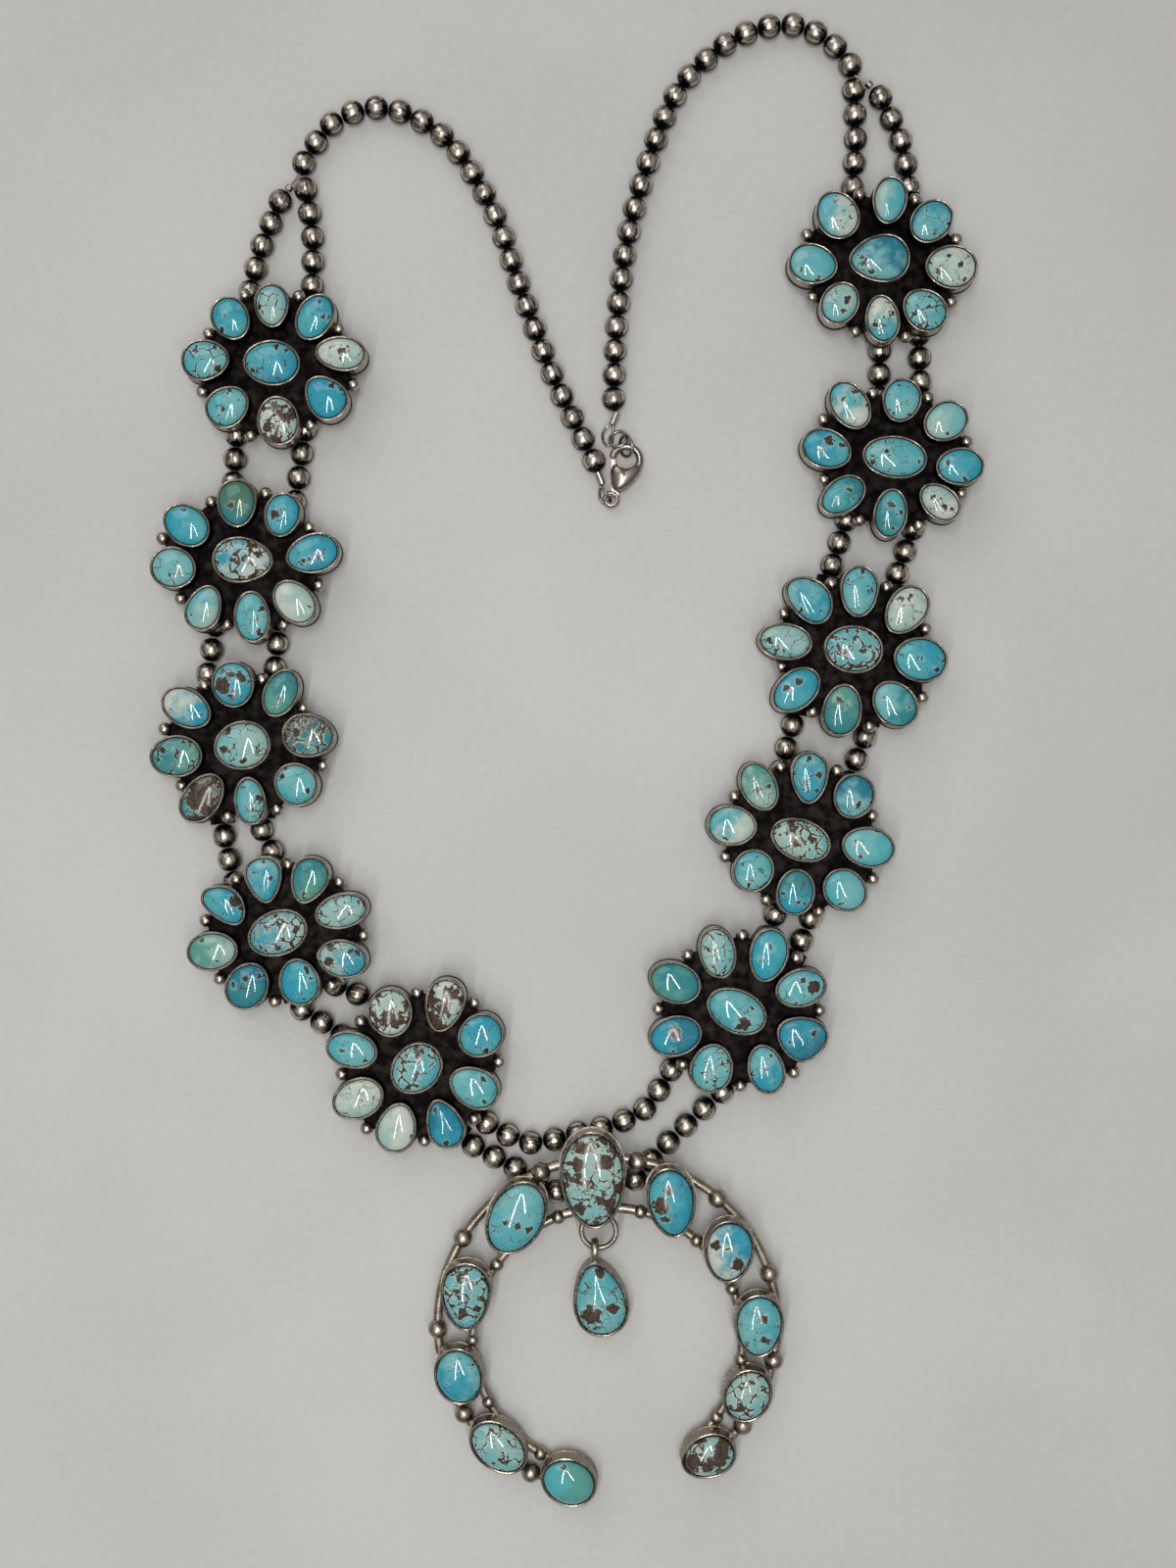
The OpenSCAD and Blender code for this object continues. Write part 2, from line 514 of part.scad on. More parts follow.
module center_stone(c) {
    color(teal) translate(at_z(c[0], 0))
        cabochon(c[1], petal_l, cup_wall + stone_gap, cup_z + stone_gap,
            rim_z - girdle_drop, center_dome, 3);
}

module naja_frame() {
    translate([NAJA_PLACE[X], NAJA_PLACE[Y], 0])
        translate([0, naja_low_y, 0])
            rotate([naja_tilt, 0, 0])
                translate([0, -naja_low_y, 0]) children();
}

naja_stones = concat([NAJA_TOP], NAJA_LEFT, NAJA_RIGHT);
naja_cup_z = naja_plate_z + plate_t;
naja_rim_z = naja_cup_z + naja_cup_h;

module naja_wire(r, shift) {
    translate([0, -shift, wire_d / 2])
        rotate([0, 0, WIRE_START])
            rotate_extrude(angle = WIRE_END - WIRE_START, $fn = 120)
                translate([r, 0]) circle(d = wire_d, $fn = 24);
}

module naja_balls(angles, r, shift, d) {
    for (a = angles)
        translate([r * cos(a), r * sin(a) - shift, d / 2 + solder]) sphere(d = d, $fn = 40);
}

module naja_setting() {
    ends = tube_ends(last(last(left_outer)), last(last(right_outer)));
    middle = crimp_middle(ends);
    loop_local = [LOOP_PLACE[X] - NAJA_PLACE[X], LOOP_PLACE[Y] - NAJA_PLACE[Y],
        naja_plate_z + loop_wire / 4];
    color(silver) naja_frame() {
        naja_wire(naja_r, 0);
        naja_wire(naja_inner_r, naja_shift);
        translate([0, 0, naja_plate_z])
            linear_extrude(plate_t)
                union() for (s = naja_stones) polygon(outline(s, naja_r, -plate_margin, cup_sides));
        for (s = naja_stones) cup(s, naja_r, naja_cup_wall, naja_cup_z - solder, naja_rim_z);
        naja_balls(OUTER_BALLS, naja_r, 0, outer_ball_d);
        naja_balls(INNER_BALLS, naja_inner_r, naja_shift, inner_ball_d);
        translate(loop_local)
            rotate_extrude($fn = 72)
                translate([(loop_d - loop_wire) / 2, 0]) circle(d = loop_wire, $fn = 20);
    }
    color(dark_silver) {
        tube(ends, tube_d);
        saddle_w = 0.5 * tube_d;
        saddle_h = tube_wall / 2 + bead_lift + naja_plate_z;
        translate([middle[X] - saddle_w, middle[Y] - saddle_w / 2, tube_d - tube_wall / 2])
            cube([2 * saddle_w, saddle_w, saddle_h]);
    }
}

module naja_stone(row) {
    color(teal) naja_frame()
        cabochon(row, naja_r, naja_cup_wall + stone_gap, naja_cup_z + stone_gap,
            naja_rim_z - girdle_drop, naja_dome, 3);
}

module drop_setting() {
    color(silver) translate([NAJA_PLACE[X], NAJA_PLACE[Y], 0]) {
        floored_cup(DROP, naja_r, naja_cup_wall, 0, plate_t, plate_t + drop_cup_h);
    }
    bail_r = (bail_bore + bail_wire) / 2;
    bail_at = [LOOP_PLACE[X] - loop_wire, LOOP_PLACE[Y] - BAIL_DROP, BAIL_Z];
    stem = bail_at - bail_r * [0, cos(STEM_SLOPE), sin(STEM_SLOPE)];
    cup_top = NAJA_PLACE[Y] + max([for (q = outline(DROP, naja_r, 0, cup_sides)) q[Y]]);
    color(silver) {
        translate(bail_at)
            rotate([0, 90, 0])
                rotate_extrude($fn = 60) translate([bail_r, 0]) circle(d = bail_wire, $fn = 20);
        rod(stem, [stem[X], cup_top - naja_cup_wall / 2, stem[2]], bail_wire);
    }
}

module drop_stone() {
    color(teal) translate([NAJA_PLACE[X], NAJA_PLACE[Y], 0])
        cabochon(DROP, naja_r, naja_cup_wall + stone_gap, plate_t + stone_gap,
            plate_t + drop_cup_h - girdle_drop, naja_dome, 3);
}

// One bead, drilled along the thread.
module bead(at, way) {
    translate(at)
        rotate([0, 90, atan2(way[Y], way[X])])
            difference() {
                sphere(d = bead_d, $fn = 48);
                cylinder(d = bead_bore, h = 2 * bead_d, center = true, $fn = 24);
            }
}

// Beads at the given places of a route. Each bore halves the thread's turn at its bead.
module beads_on(route, from, count) {
    color(silver)
        for (i = [from:from + count - 1]) {
            before = route[i] - route[max(i - 1, 0)];
            after = route[min(i + 1, len(route) - 1)] - route[i];
            bead(route[i], norm(before) == 0 ? after : norm(after) == 0 ? before : unit(before) + unit(after));
        }
}

count_neck_left = len(neck_left);
count_left_inner = len(joined(left_inner));
count_right_inner = len(joined(right_inner));
count_neck_right = len(neck_right);
count_left_outer = len(joined(left_outer));
count_right_outer = len(joined(right_outer));

module crimp_tube(ends) {
    difference() {
        rod(ends[0], ends[1], crimp_d);
        rod(ends[0] - unit(ends[1] - ends[0]), (ends[0] + 3 * ends[1]) / 4, thread_d + 2 * stone_gap);
    }
}

module fork_crimp(fork, first_bead) {
    way = unit(flat(first_bead) - fork[1]);
    middle = at_z(fork[1], bead_z);
    half = at_z(way, 0) * fork_crimp_l / 2;
    difference() {
        rod(middle - half, middle + half, fork_crimp_d);
        rod(middle - 3 * half, middle + 3 * half, thread_d + 4 * stone_gap);
    }
}

module fork_crimps() {
    color(silver) {
        fork_crimp(FORK_LEFT, left_outer[0][0]);
        fork_crimp(FORK_RIGHT, right_outer[0][0]);
    }
}

half_w = clasp_w / 2;
clasp_mid_z = clasp_t / 2;
function clasp_at(share) = [share[X] * half_w, share[Y] * half_w, 0];
hook_r = half_w - hook_d / 2;
slot_t = lever_t + 2 * lever_play;

module clasp_body() {
    translate([CLASP_PLACE[X], CLASP_PLACE[Y], 0]) color(silver) {
        translate([0, 0, clasp_mid_z])
            rotate([0, 0, HOOK_START])
                rotate_extrude(angle = HOOK_END - HOOK_START, $fn = 72)
                    translate([hook_r, 0]) circle(d = hook_d, $fn = 24);
        difference() {
            linear_extrude(clasp_t)
                difference() {
                    polygon(half_w * CLASP_BODY);
                    circle(r = CLASP_HOLE * half_w, $fn = 48);
                }
            translate([0, 0, clasp_mid_z - slot_t / 2])
                linear_extrude(slot_t)
                    polygon([for (p = CLASP_SLOT) half_w * (CLASP_PIVOT + p)]);
        }
        translate(clasp_at(CLASP_PIVOT)) cylinder(d = pin_d, h = clasp_t, $fn = 24);
        translate(clasp_at(CLASP_EYE) + [0, 0, clasp_mid_z])
            difference() {
                union() {
                    cylinder(r = EYE_R * half_w, h = 1, center = true, $fn = 40);
                    translate([EYE_R * half_w / 2, EYE_R * half_w, 0])
                        cube([0.4 * half_w, 0.5 * half_w, 1], center = true);
                }
                cylinder(r = EYE_BORE * half_w, h = clasp_t, center = true, $fn = 32);
            }
    }
}

module clasp_lever() {
    pivot = clasp_at(CLASP_PIVOT);
    tip = clasp_at(LEVER_TIP);
    side = unit([pivot[Y] - tip[Y], tip[X] - pivot[X], 0]);
    tip_r = LEVER_R * half_w;
    boss_r = LEVER_BOSS_R * half_w;
    bar_r = 0.85 * boss_r;
    bar = [pivot + bar_r * side, tip + 0.9 * tip_r * side, tip - 0.9 * tip_r * side,
        pivot - bar_r * side];
    color(silver)
        translate([CLASP_PLACE[X], CLASP_PLACE[Y], clasp_mid_z - lever_t / 2])
            difference() {
                union() {
                    linear_extrude(lever_t) polygon([for (p = bar) flat(p)]);
                    translate(pivot) cylinder(r = boss_r, h = lever_t, $fn = 32);
                    translate(tip) cylinder(r = tip_r, h = lever_t, $fn = 24);
                }
                translate(pivot - [0, 0, lever_t])
                    cylinder(d = pin_d + 2 * pin_play, h = 3 * lever_t, $fn = 32);
            }
}

module jump_ring(d, place, tilt, turn) {
    color(silver) translate(place)
        rotate([0, 0, turn])
            rotate([0, -tilt, 0])
                rotate_extrude($fn = 60) translate([d / 2, 0]) circle(d = ring_wire, $fn = 20);
}

module crimp(ends, loop) {
    color(silver) {
        crimp_tube(ends);
        wire(curve(loop, 2), thread_d);
    }
}

translate(layout_shift) {
    for (i = [0:4]) {
        cluster(CLUSTERS_LEFT[i], left_inner, left_outer, i);
        cluster(CLUSTERS_RIGHT[i], right_inner, right_outer, i);
        petals(CLUSTERS_LEFT[i]);
        petals(CLUSTERS_RIGHT[i]);
        center_stone(CLUSTERS_LEFT[i]);
        center_stone(CLUSTERS_RIGHT[i]);
        naja_stone(NAJA_LEFT[i]);
        naja_stone(NAJA_RIGHT[i]);
    }
    naja_setting();
    naja_stone(NAJA_TOP);  // naja_stone_top
    drop_setting();
    drop_stone();
    beads_on(inner_route, len(CRIMP_LEFT), count_neck_left);  // beads_neck_left
    beads_on(inner_route, len(CRIMP_LEFT) + count_neck_left, count_left_inner);  // beads_left_inner
    beads_on(inner_route, len(CRIMP_LEFT) + count_neck_left + count_left_inner,  // beads_right_inner
            count_right_inner);
    beads_on(inner_route, len(inner_route) - len(CRIMP_RIGHT) - count_neck_right,  // beads_neck_right
            count_neck_right);
    beads_on(outer_route, len(FORK_LEFT), count_left_outer);  // beads_left_outer
    beads_on(outer_route, len(FORK_LEFT) + count_left_outer, count_right_outer);  // beads_right_outer
    color(thread_grey) wire(inner_route, thread_d);  // thread_inner
    color(thread_grey) wire(outer_route, thread_d);  // thread_outer
    fork_crimps();
    crimp(CRIMP_LEFT, LOOP_LEFT);  // crimp_left
    crimp(CRIMP_RIGHT, LOOP_RIGHT);  // crimp_right
    jump_ring(chain_ring_d, RING_CHAIN_PLACE, RING_CHAIN_TILT, RING_CHAIN_TURN);  // ring_chain
    jump_ring(hook_ring_d, RING_HOOK_PLACE, RING_HOOK_TILT, RING_HOOK_TURN);  // ring_hook
    clasp_body();
    clasp_lever();
}
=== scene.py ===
"""Looks of a squash blossom necklace that lies flat on a pale table.

The CAD model gives every shape its place. This script adds polished domes for the stones,
rolled rims on their cups, fuller balls, beads with a brushed band, a swelling top on the
clasp, finishes, a table, lights and a camera.
"""

import logging
import random
from dataclasses import dataclass, field
from enum import Enum
from math import asin, atan, atan2, cos, pi, radians, sin, sqrt

import bmesh
import bpy
from mathutils import Euler, Matrix, Vector


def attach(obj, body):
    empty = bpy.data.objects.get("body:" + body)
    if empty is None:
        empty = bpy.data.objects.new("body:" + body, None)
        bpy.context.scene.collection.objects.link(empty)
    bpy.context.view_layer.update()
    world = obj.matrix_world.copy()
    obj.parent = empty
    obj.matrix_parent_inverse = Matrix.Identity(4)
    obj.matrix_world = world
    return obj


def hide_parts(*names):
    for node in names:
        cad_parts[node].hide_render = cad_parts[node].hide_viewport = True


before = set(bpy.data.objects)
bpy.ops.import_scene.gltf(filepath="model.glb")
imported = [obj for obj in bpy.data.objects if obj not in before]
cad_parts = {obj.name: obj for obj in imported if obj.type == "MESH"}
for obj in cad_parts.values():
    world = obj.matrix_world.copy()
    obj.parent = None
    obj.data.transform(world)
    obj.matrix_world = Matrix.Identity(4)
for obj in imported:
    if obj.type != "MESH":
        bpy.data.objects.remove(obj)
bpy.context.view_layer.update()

log = logging.getLogger("necklace")

MM = 0.001
NECKLACE = "necklace"
SIDES = ("l", "r")
CLUSTER_COUNT = 5

# Heights on the clusters and the radius of their balls in the CAD frame, in metres.
PLATE_TOP = 5.5 * MM
RIM_TOP = 9.1 * MM
BALL_TOP = 7.3 * MM
CAD_BALL_RADIUS = 1.2 * MM
# Points nearer than this are one, and points this close in height lie level.
SAME_POINT = 0.001 * MM
SAME_HEIGHT = 0.004 * MM
# The crescent, in millimetres. It leans on the beads: its own floor is turned about X by
# the tilt, round a line through its lowest point.
NAJA_RADIUS = 34.5
NAJA_INNER_RADIUS = 27.4
NAJA_INNER_DROP = 3.1
NAJA_MIDDLE = (8.4, -115.3)
NAJA_LOW = -35.5
NAJA_OVER_BEADS = 0.887
NAJA_LIFT = 4.96
NAJA_TILT = asin(NAJA_LIFT / (NAJA_RADIUS * NAJA_OVER_BEADS - NAJA_LOW))

Pair = tuple[float, float]
Point = tuple[float, float, float]
Material = bpy.types.Material
Object = bpy.types.Object
SPOT_NAMES = ("spot_a", "spot_b", "spot_c")
# A spot that shows nowhere, for stones with fewer spots.
NO_SPOT = (0.0, 0.0, -9.0)


class Tint(Enum):
    """Body colours of turquoise, as sRGB values from 0 to 1."""

    WHITE = (0.77, 0.81, 0.76)
    PALE = (0.61, 0.74, 0.71)
    LIGHT = (0.45, 0.71, 0.72)
    AQUA = (0.31, 0.67, 0.71)
    BLUE = (0.15, 0.60, 0.69)
    DEEP = (0.08, 0.48, 0.57)
    TEAL = (0.17, 0.52, 0.55)
    GREEN = (0.34, 0.61, 0.56)
    MOSS = (0.29, 0.46, 0.35)
    EARTH = (0.36, 0.33, 0.28)


class Marks(Enum):
    """How much of a stone is patched, webbed and specked, and how black its matrix is."""

    CLEAN = (0.00, 0.00, 0.05, 0.3)
    THIN = (0.00, 0.35, 0.15, 0.6)
    CRACKED = (0.12, 0.65, 0.20, 0.8)
    SPECKS = (0.08, 0.10, 0.80, 0.7)
    SPOT = (0.00, 0.20, 0.20, 0.5)
    BROWN_SPOT = (0.00, 0.25, 0.10, 0.1)
    BLACK = (0.00, 0.30, 0.25, 1.0)
    BLOTCH = (0.38, 0.20, 0.70, 0.7)
    PATCHES = (0.36, 0.45, 0.35, 0.3)
    WEB = (0.42, 1.00, 0.35, 0.3)
    HEAVY = (0.68, 0.85, 0.55, 0.1)


@dataclass(frozen=True)
class StoneLook:
    """The look of one stone.

    Args:
        tint: its main colour.
        fade: the colour towards its other end.
        marks: its matrix.
        way: the direction in degrees in which the main colour fades.
        spots: the largest patches of matrix, as x, y and radius in shares of the stone's half size.
    """

    tint: Tint
    fade: Tint
    marks: Marks
    way: float
    spots: tuple[Point, ...]


def looks(text: str) -> list[StoneLook]:
    """Reads stone looks from words.

    Args:
        text: one "tint fade marks way spots" group for each stone, parted by commas. Each spot
            is x:y:radius in hundredths of the stone's half size.

    Returns:
        One look for each group.
    """
    found = []
    for group in text.split(","):
        tint, fade, marks, way, *spots = group.split()
        places = tuple(tuple(int(v) / 100 for v in spot.split(":")) for spot in spots)
        found.append(StoneLook(Tint[tint], Tint[fade], Marks[marks], float(way), places))
    return found


# The eight petals clockwise from the top one, then the middle stone.
CLUSTER_LOOKS = {
    "l1": looks("""
      LIGHT PALE CRACKED 270 10:60:9 -75:-20:12 50:40:8,
      AQUA BLUE SPECKS 60 30:65:12 45:0:9 80:-5:8,
      PALE WHITE BROWN_SPOT 180 10:15:16 0:-45:15 40:30:8,
      BLUE BLUE SPECKS 0 33:55:12 75:40:8,
      WHITE PALE HEAVY 0 55:15:20 -55:-30:25 10:-60:25,
      AQUA LIGHT BLACK 0 -20:-20:7 -45:-50:6 10:75:12,
      LIGHT AQUA CRACKED 180 -40:45:15 55:-50:18,
      AQUA BLUE SPECKS 60 -25:15:8 -40:-65:13 75:50:7,
      AQUA BLUE BLACK 0 25:65:12 55:58:8 -66:-40:9
    """),
    "l2": looks("""
      MOSS TEAL BROWN_SPOT 270 -30:-15:14 40:-20:9,
      BLUE AQUA SPOT 180 -42:-3:22 5:25:10,
      AQUA BLUE BLACK 0 -35:-50:12 -8:-35:11 25:-12:9,
      PALE WHITE CLEAN 200 75:-30:9,
      LIGHT AQUA SPOT 200 60:35:17 35:-15:13 50:-70:14,
      AQUA PALE CLEAN 330 -75:-35:9,
      LIGHT LIGHT THIN 0 0:-75:8,
      AQUA BLUE CLEAN 200 -10:75:11 0:0:5,
      BLUE WHITE WEB 300 -20:20:13 10:5:11 35:-20:14
    """),
    "l3": looks("""
      AQUA BLUE PATCHES 270 -50:-10:42 -10:40:20 45:30:22,
      GREEN TEAL BROWN_SPOT 60 0:-25:13 -25:-60:8,
      TEAL EARTH WEB 120 -40:20:16 10:-40:14,
      AQUA LIGHT BLACK 90 -70:40:15 -45:80:12 55:-30:12,
      LIGHT AQUA PATCHES 180 68:10:18 30:-45:14,
      TEAL EARTH HEAVY 60 -5:20:58 -45:-30:25 30:60:20,
      GREEN TEAL CRACKED 180 -52:35:14 25:-50:6,
      BLUE WHITE SPECKS 150 70:-40:7,
      LIGHT PALE PATCHES 0 -50:60:18 -66:-18:18 10:-68:14
    """),
    "l4": looks("""
      LIGHT BLUE SPECKS 300 45:8:14 0:80:13,
      GREEN TEAL BROWN_SPOT 90 -20:-78:13,
      PALE LIGHT CRACKED 90 -82:-10:9 15:60:8,
      BLUE PALE PATCHES 160 -45:62:20 -55:-12:26 75:30:9,
      AQUA BLUE SPECKS 200 45:55:15 70:20:8,
      DEEP TEAL SPECKS 270 -5:38:15 65:52:13 -62:5:10,
      GREEN PALE SPECKS 0 -36:60:12 25:-52:10,
      BLUE AQUA SPOT 180 60:22:30 90:-20:14,
      BLUE PALE WEB 40 66:12:15 5:50:13
    """),
    "l5": looks("""
      WHITE PALE HEAVY 0 -10:-5:22 25:-45:22 -60:-35:16,
      WHITE PALE HEAVY 270 -55:-62:30 20:60:20 -20:20:16,
      BLUE AQUA BLACK 270 30:-75:14 -62:60:9,
      LIGHT AQUA SPOT 300 36:48:15 45:-66:11,
      BLUE DEEP SPECKS 90 10:-80:12 -40:60:8,
      WHITE PALE CLEAN 180 75:-32:9,
      PALE WHITE BROWN_SPOT 90 15:40:12,
      AQUA LIGHT SPOT 330 -38:3:14 62:-72:12,
      LIGHT AQUA WEB 330 -48:30:11 -32:-76:13 30:76:9
    """),
    "r1": looks("""
      AQUA PALE CLEAN 180,
      BLUE LIGHT THIN 250 35:-75:9 85:-20:8,
      PALE WHITE BLOTCH 0 -60:-32:17 28:0:16 -15:50:12,
      LIGHT AQUA CRACKED 0 18:8:12 -60:-30:10 50:-70:8,
      WHITE AQUA BLACK 270 -55:-25:18 5:2:13 55:20:12,
      LIGHT PALE SPOT 90 36:8:18 22:-48:13 -30:45:6,
      LIGHT AQUA CLEAN 0 -58:-40:8 22:-82:11,
      AQUA WHITE SPECKS 0 62:-15:9 30:10:7 70:35:8,
      DEEP LIGHT SPOT 240 -58:-25:12 -35:-62:10 -70:5:8
    """),
    "r2": looks("""
      LIGHT AQUA THIN 90 30:-75:9 -50:-60:7,
      LIGHT PALE CLEAN 200 -62:-35:6 0:-70:7,
      AQUA BLUE SPOT 0 -60:22:15 15:-80:12,
      WHITE PALE BLOTCH 90 -45:20:15 10:-30:14 50:-50:13,
      AQUA TEAL BROWN_SPOT 200 0:30:15 50:0:12 20:-60:9,
      TEAL AQUA SPECKS 200 25:30:10 -30:-20:9 50:-20:8,
      BLUE AQUA SPOT 0 10:38:24 70:15:12 -25:-20:13,
      AQUA WHITE BROWN_SPOT 320 30:55:15 -45:20:12 85:0:8,
      LIGHT AQUA BLACK 0 -35:18:12 -78:-35:10 80:-25:8
    """),
    "r3": looks("""
      AQUA LIGHT THIN 270 15:85:12 -20:5:6,
      PALE WHITE BROWN_SPOT 90 -30:48:14 15:52:12 -42:-58:8,
      AQUA BLUE BLACK 0 4:2:7 62:-56:11 88:-5:7,
      TEAL LIGHT CLEAN 150 60:-15:8 -60:30:7,
      TEAL GREEN BROWN_SPOT 90 -25:42:14 20:20:7,
      BLUE AQUA SPOT 270 -45:8:22 8:42:12,
      LIGHT PALE BLACK 90 -70:2:17 -38:-48:15 -5:-52:9,
      BLUE LIGHT SPOT 100 -40:-42:11 -70:0:6,
      AQUA LIGHT WEB 0 28:-8:10 -25:72:9 -40:-35:7
    """),
    "r4": looks("""
      AQUA BLUE PATCHES 270 0:78:15 52:12:13 -25:-25:10,
      DEEP LIGHT SPOT 260 20:-42:16 85:-30:8,
      AQUA LIGHT CLEAN 150 28:85:9 -55:28:9 -30:-50:6,
      LIGHT AQUA CLEAN 180 -20:-65:11 -65:40:5,
      BLUE TEAL BLACK 90 10:-45:13 -70:0:10 55:-50:9,
      LIGHT AQUA BLACK 90 -55:28:11 -36:-72:13 -75:60:8,
      AQUA WHITE CLEAN 300 -30:-75:11,
      GREEN PALE BROWN_SPOT 270 -15:-15:18 45:-5:14 -30:30:9,
      LIGHT PALE WEB 180 -50:28:12 0:-20:8
    """),
    "r5": looks("""
      PALE LIGHT CRACKED 0 -55:10:12 70:10:6 -30:-55:5,
      AQUA BLUE CLEAN 200 12:36:9 -48:-18:7,
      AQUA LIGHT SPOT 200 52:5:34 5:48:18 -20:-85:9,
      BLUE DEEP THIN 300 45:35:10 -52:-12:7,
      LIGHT BLUE SPOT 270 -5:3:13 30:62:12 -82:-18:9,
      LIGHT AQUA CRACKED 180 -22:-20:8 75:-10:7 -30:-60:6,
      BLUE DEEP SPOT 0 -2:28:24 5:0:14 -15:-75:10,
      GREEN TEAL CLEAN 30,
      LIGHT AQUA SPOT 180 28:-48:25 50:15:9 5:-68:15
    """),
}
NAJA_LOOKS = {
    "naja_stone_top": "LIGHT PALE HEAVY 90 -50:38:20 45:40:20 -42:-60:18",
    "naja_stone_left1": "AQUA LIGHT BROWN_SPOT 90 5:-14:11 42:-28:11 -35:-5:6",
    "naja_stone_left2": "AQUA LIGHT WEB 60 -10:-45:20 55:-30:12 10:80:10",
    "naja_stone_left3": "BLUE LIGHT SPECKS 60 62:50:8 -25:60:6 -55:-20:6",
    "naja_stone_left4": "PALE LIGHT CRACKED 230 -80:-40:8 60:40:5",
    "naja_stone_left5": "GREEN AQUA CLEAN 200 -15:76:10",
    "naja_stone_right1": "AQUA BLUE BROWN_SPOT 0 -45:-5:30 -15:40:16 -30:-45:14",
    "naja_stone_right2": "BLUE WHITE SPOT 200 -62:28:20 38:-38:24 -10:20:8",
    "naja_stone_right3": "LIGHT AQUA SPOT 0 15:33:19 25:-38:17 -60:-60:9",
    "naja_stone_right4": "LIGHT PALE WEB 90 10:66:14 -38:-46:16",
    "naja_stone_right5": "PALE LIGHT HEAVY 0 -10:-40:25 -60:0:20 30:40:16",
    "drop_stone": "AQUA LIGHT PATCHES 270 -32:-36:32 0:80:15 48:-20:16",
}


def linear(channel: float) -> float:
    """One sRGB channel as linear light."""
    return channel / 12.92 if channel <= 0.04045 else ((channel + 0.055) / 1.055) ** 2.4


def rgba(color: Point) -> tuple[float, float, float, float]:
    """An sRGB colour as a linear RGBA value."""
    return (*(linear(c) for c in color), 1.0)


def turns(count: int) -> list[float]:
    """Angles at equal steps round a circle."""
    return [2 * pi * k / count for k in range(count)]


def spline(ring: list[Vector], at: float) -> Vector:
    """A point on the smooth closed curve that meets the ring's points at whole numbers."""
    u = at % 1.0
    a, b, c, d = (ring[(int(at) + k) % len(ring)] for k in (-1, 0, 1, 2))
    return 0.5 * (
        2 * b + u * (c - a) + u * u * (2 * a - 5 * b + 4 * c - d)
        + u**3 * (3 * b - 3 * c + d - a)
    )


def add(name: str, data: bpy.types.ID) -> Object:
    """Makes an object and links it to the scene."""
    obj = bpy.data.objects.new(name, data)
    bpy.context.scene.collection.objects.link(obj)
    return obj


class Shader:
    """A node tree under one Principled shader, built with short calls."""

    def __init__(self, name: str) -> None:
        self.material = bpy.data.materials.new(name)
        self.material.use_nodes = True
        self.tree = self.material.node_tree
        self.principled = self.tree.nodes["Principled BSDF"]

    def node(self, kind: str, **values: object) -> bpy.types.Node:
        """Adds a node with some properties; kind goes without the leading ShaderNode."""
        made = self.tree.nodes.new("ShaderNode" + kind)
        for key, value in values.items():
            setattr(made, key, value)
        return made

    def put(self, socket: bpy.types.NodeSocket, value: object) -> None:
        """Links an output to a socket, or sets a plain value on it."""
        if isinstance(value, bpy.types.NodeSocket):
            self.tree.links.new(value, socket)
        elif value is not None:
            socket.default_value = value

    def fill(self, node: bpy.types.Node, **values: object) -> bpy.types.Node:
        """Sets or links a node's sockets by name, with _ for a space, and returns the node."""
        for key, value in values.items():
            self.put(node.inputs[key.replace("_", " ")], value)
        return node

    def surface(self, **values: object) -> None:
        """Sets or links the Principled shader's sockets by name, with _ for a space."""
        self.fill(self.principled, **values)

    def math(self, operation: str, a: object, b: object = None, c: object = None) -> object:
        """A math node's output."""
        made = self.node("Math", operation=operation)
        for socket, value in zip(made.inputs, (a, b, c)):
            self.put(socket, value)
        return made.outputs[0]

    def times(self, a: object, b: object) -> object:
        """The product of a and b."""
        return self.math("MULTIPLY", a, b)

    def ramp(self, value: object, low: float, high: float, to: Pair = (0.0, 1.0)) -> object:
        """A smooth step of value between low and high, from to[0] to to[1]."""
        made = self.node("MapRange", interpolation_type="SMOOTHSTEP")
        for socket, v in zip(made.inputs, (value, low, high, *to)):
            self.put(socket, v)
        return made.outputs[0]

    def mix(self, share: object, a: object, b: object) -> object:
        """A colour between a and b."""
        made = self.node("Mix", data_type="RGBA")
        self.put(made.inputs[0], share)
        self.put(made.inputs[6], a)
        self.put(made.inputs[7], b)
        return made.outputs[2]

    def noise(
        self, at: object, scale: float, detail: float = 2.0, rough: float = 0.5, out: str = "Fac"
    ) -> object:
        """A noise value round 0.5, or with out as Color three of them."""
        made = self.node("TexNoise")
        self.fill(made, Vector=at, Scale=scale, Detail=detail, Roughness=rough)
        return made.outputs[out]

    def attribute(self, name: str, output: str = "Vector") -> object:
        """An attribute of the mesh."""
        return self.node("Attribute", attribute_name=name).outputs[output]

    def parts(self, vector: object) -> object:
        """The three parts of a vector."""
        made = self.node("SeparateXYZ")
        self.put(made.inputs[0], vector)
        return made.outputs

    def vector(self, operation: str, a: object, b: object = None, scale: float = None) -> object:
        """A vector math node's output."""
        made = self.node("VectorMath", operation=operation)
        self.put(made.inputs[0], a)
        self.put(made.inputs[1], b)
        if scale is not None:
            made.inputs["Scale"].default_value = scale
        single = operation in ("DOT_PRODUCT", "DISTANCE")
        return made.outputs["Value" if single else "Vector"]

    def here(self) -> object:
        """The object's own coordinates, in metres."""
        return self.node("TexCoord").outputs["Object"]

    def normal(self) -> object:
        """The surface's direction."""
        return self.node("NewGeometry").outputs["Normal"]

    def bump(self, height: object, strength: float, distance: float) -> None:
        """Fine relief on the shader's normal."""
        made = self.node("Bump")
        self.fill(made, Strength=strength, Distance=distance, Height=height)
        self.surface(Normal=made.outputs[0])


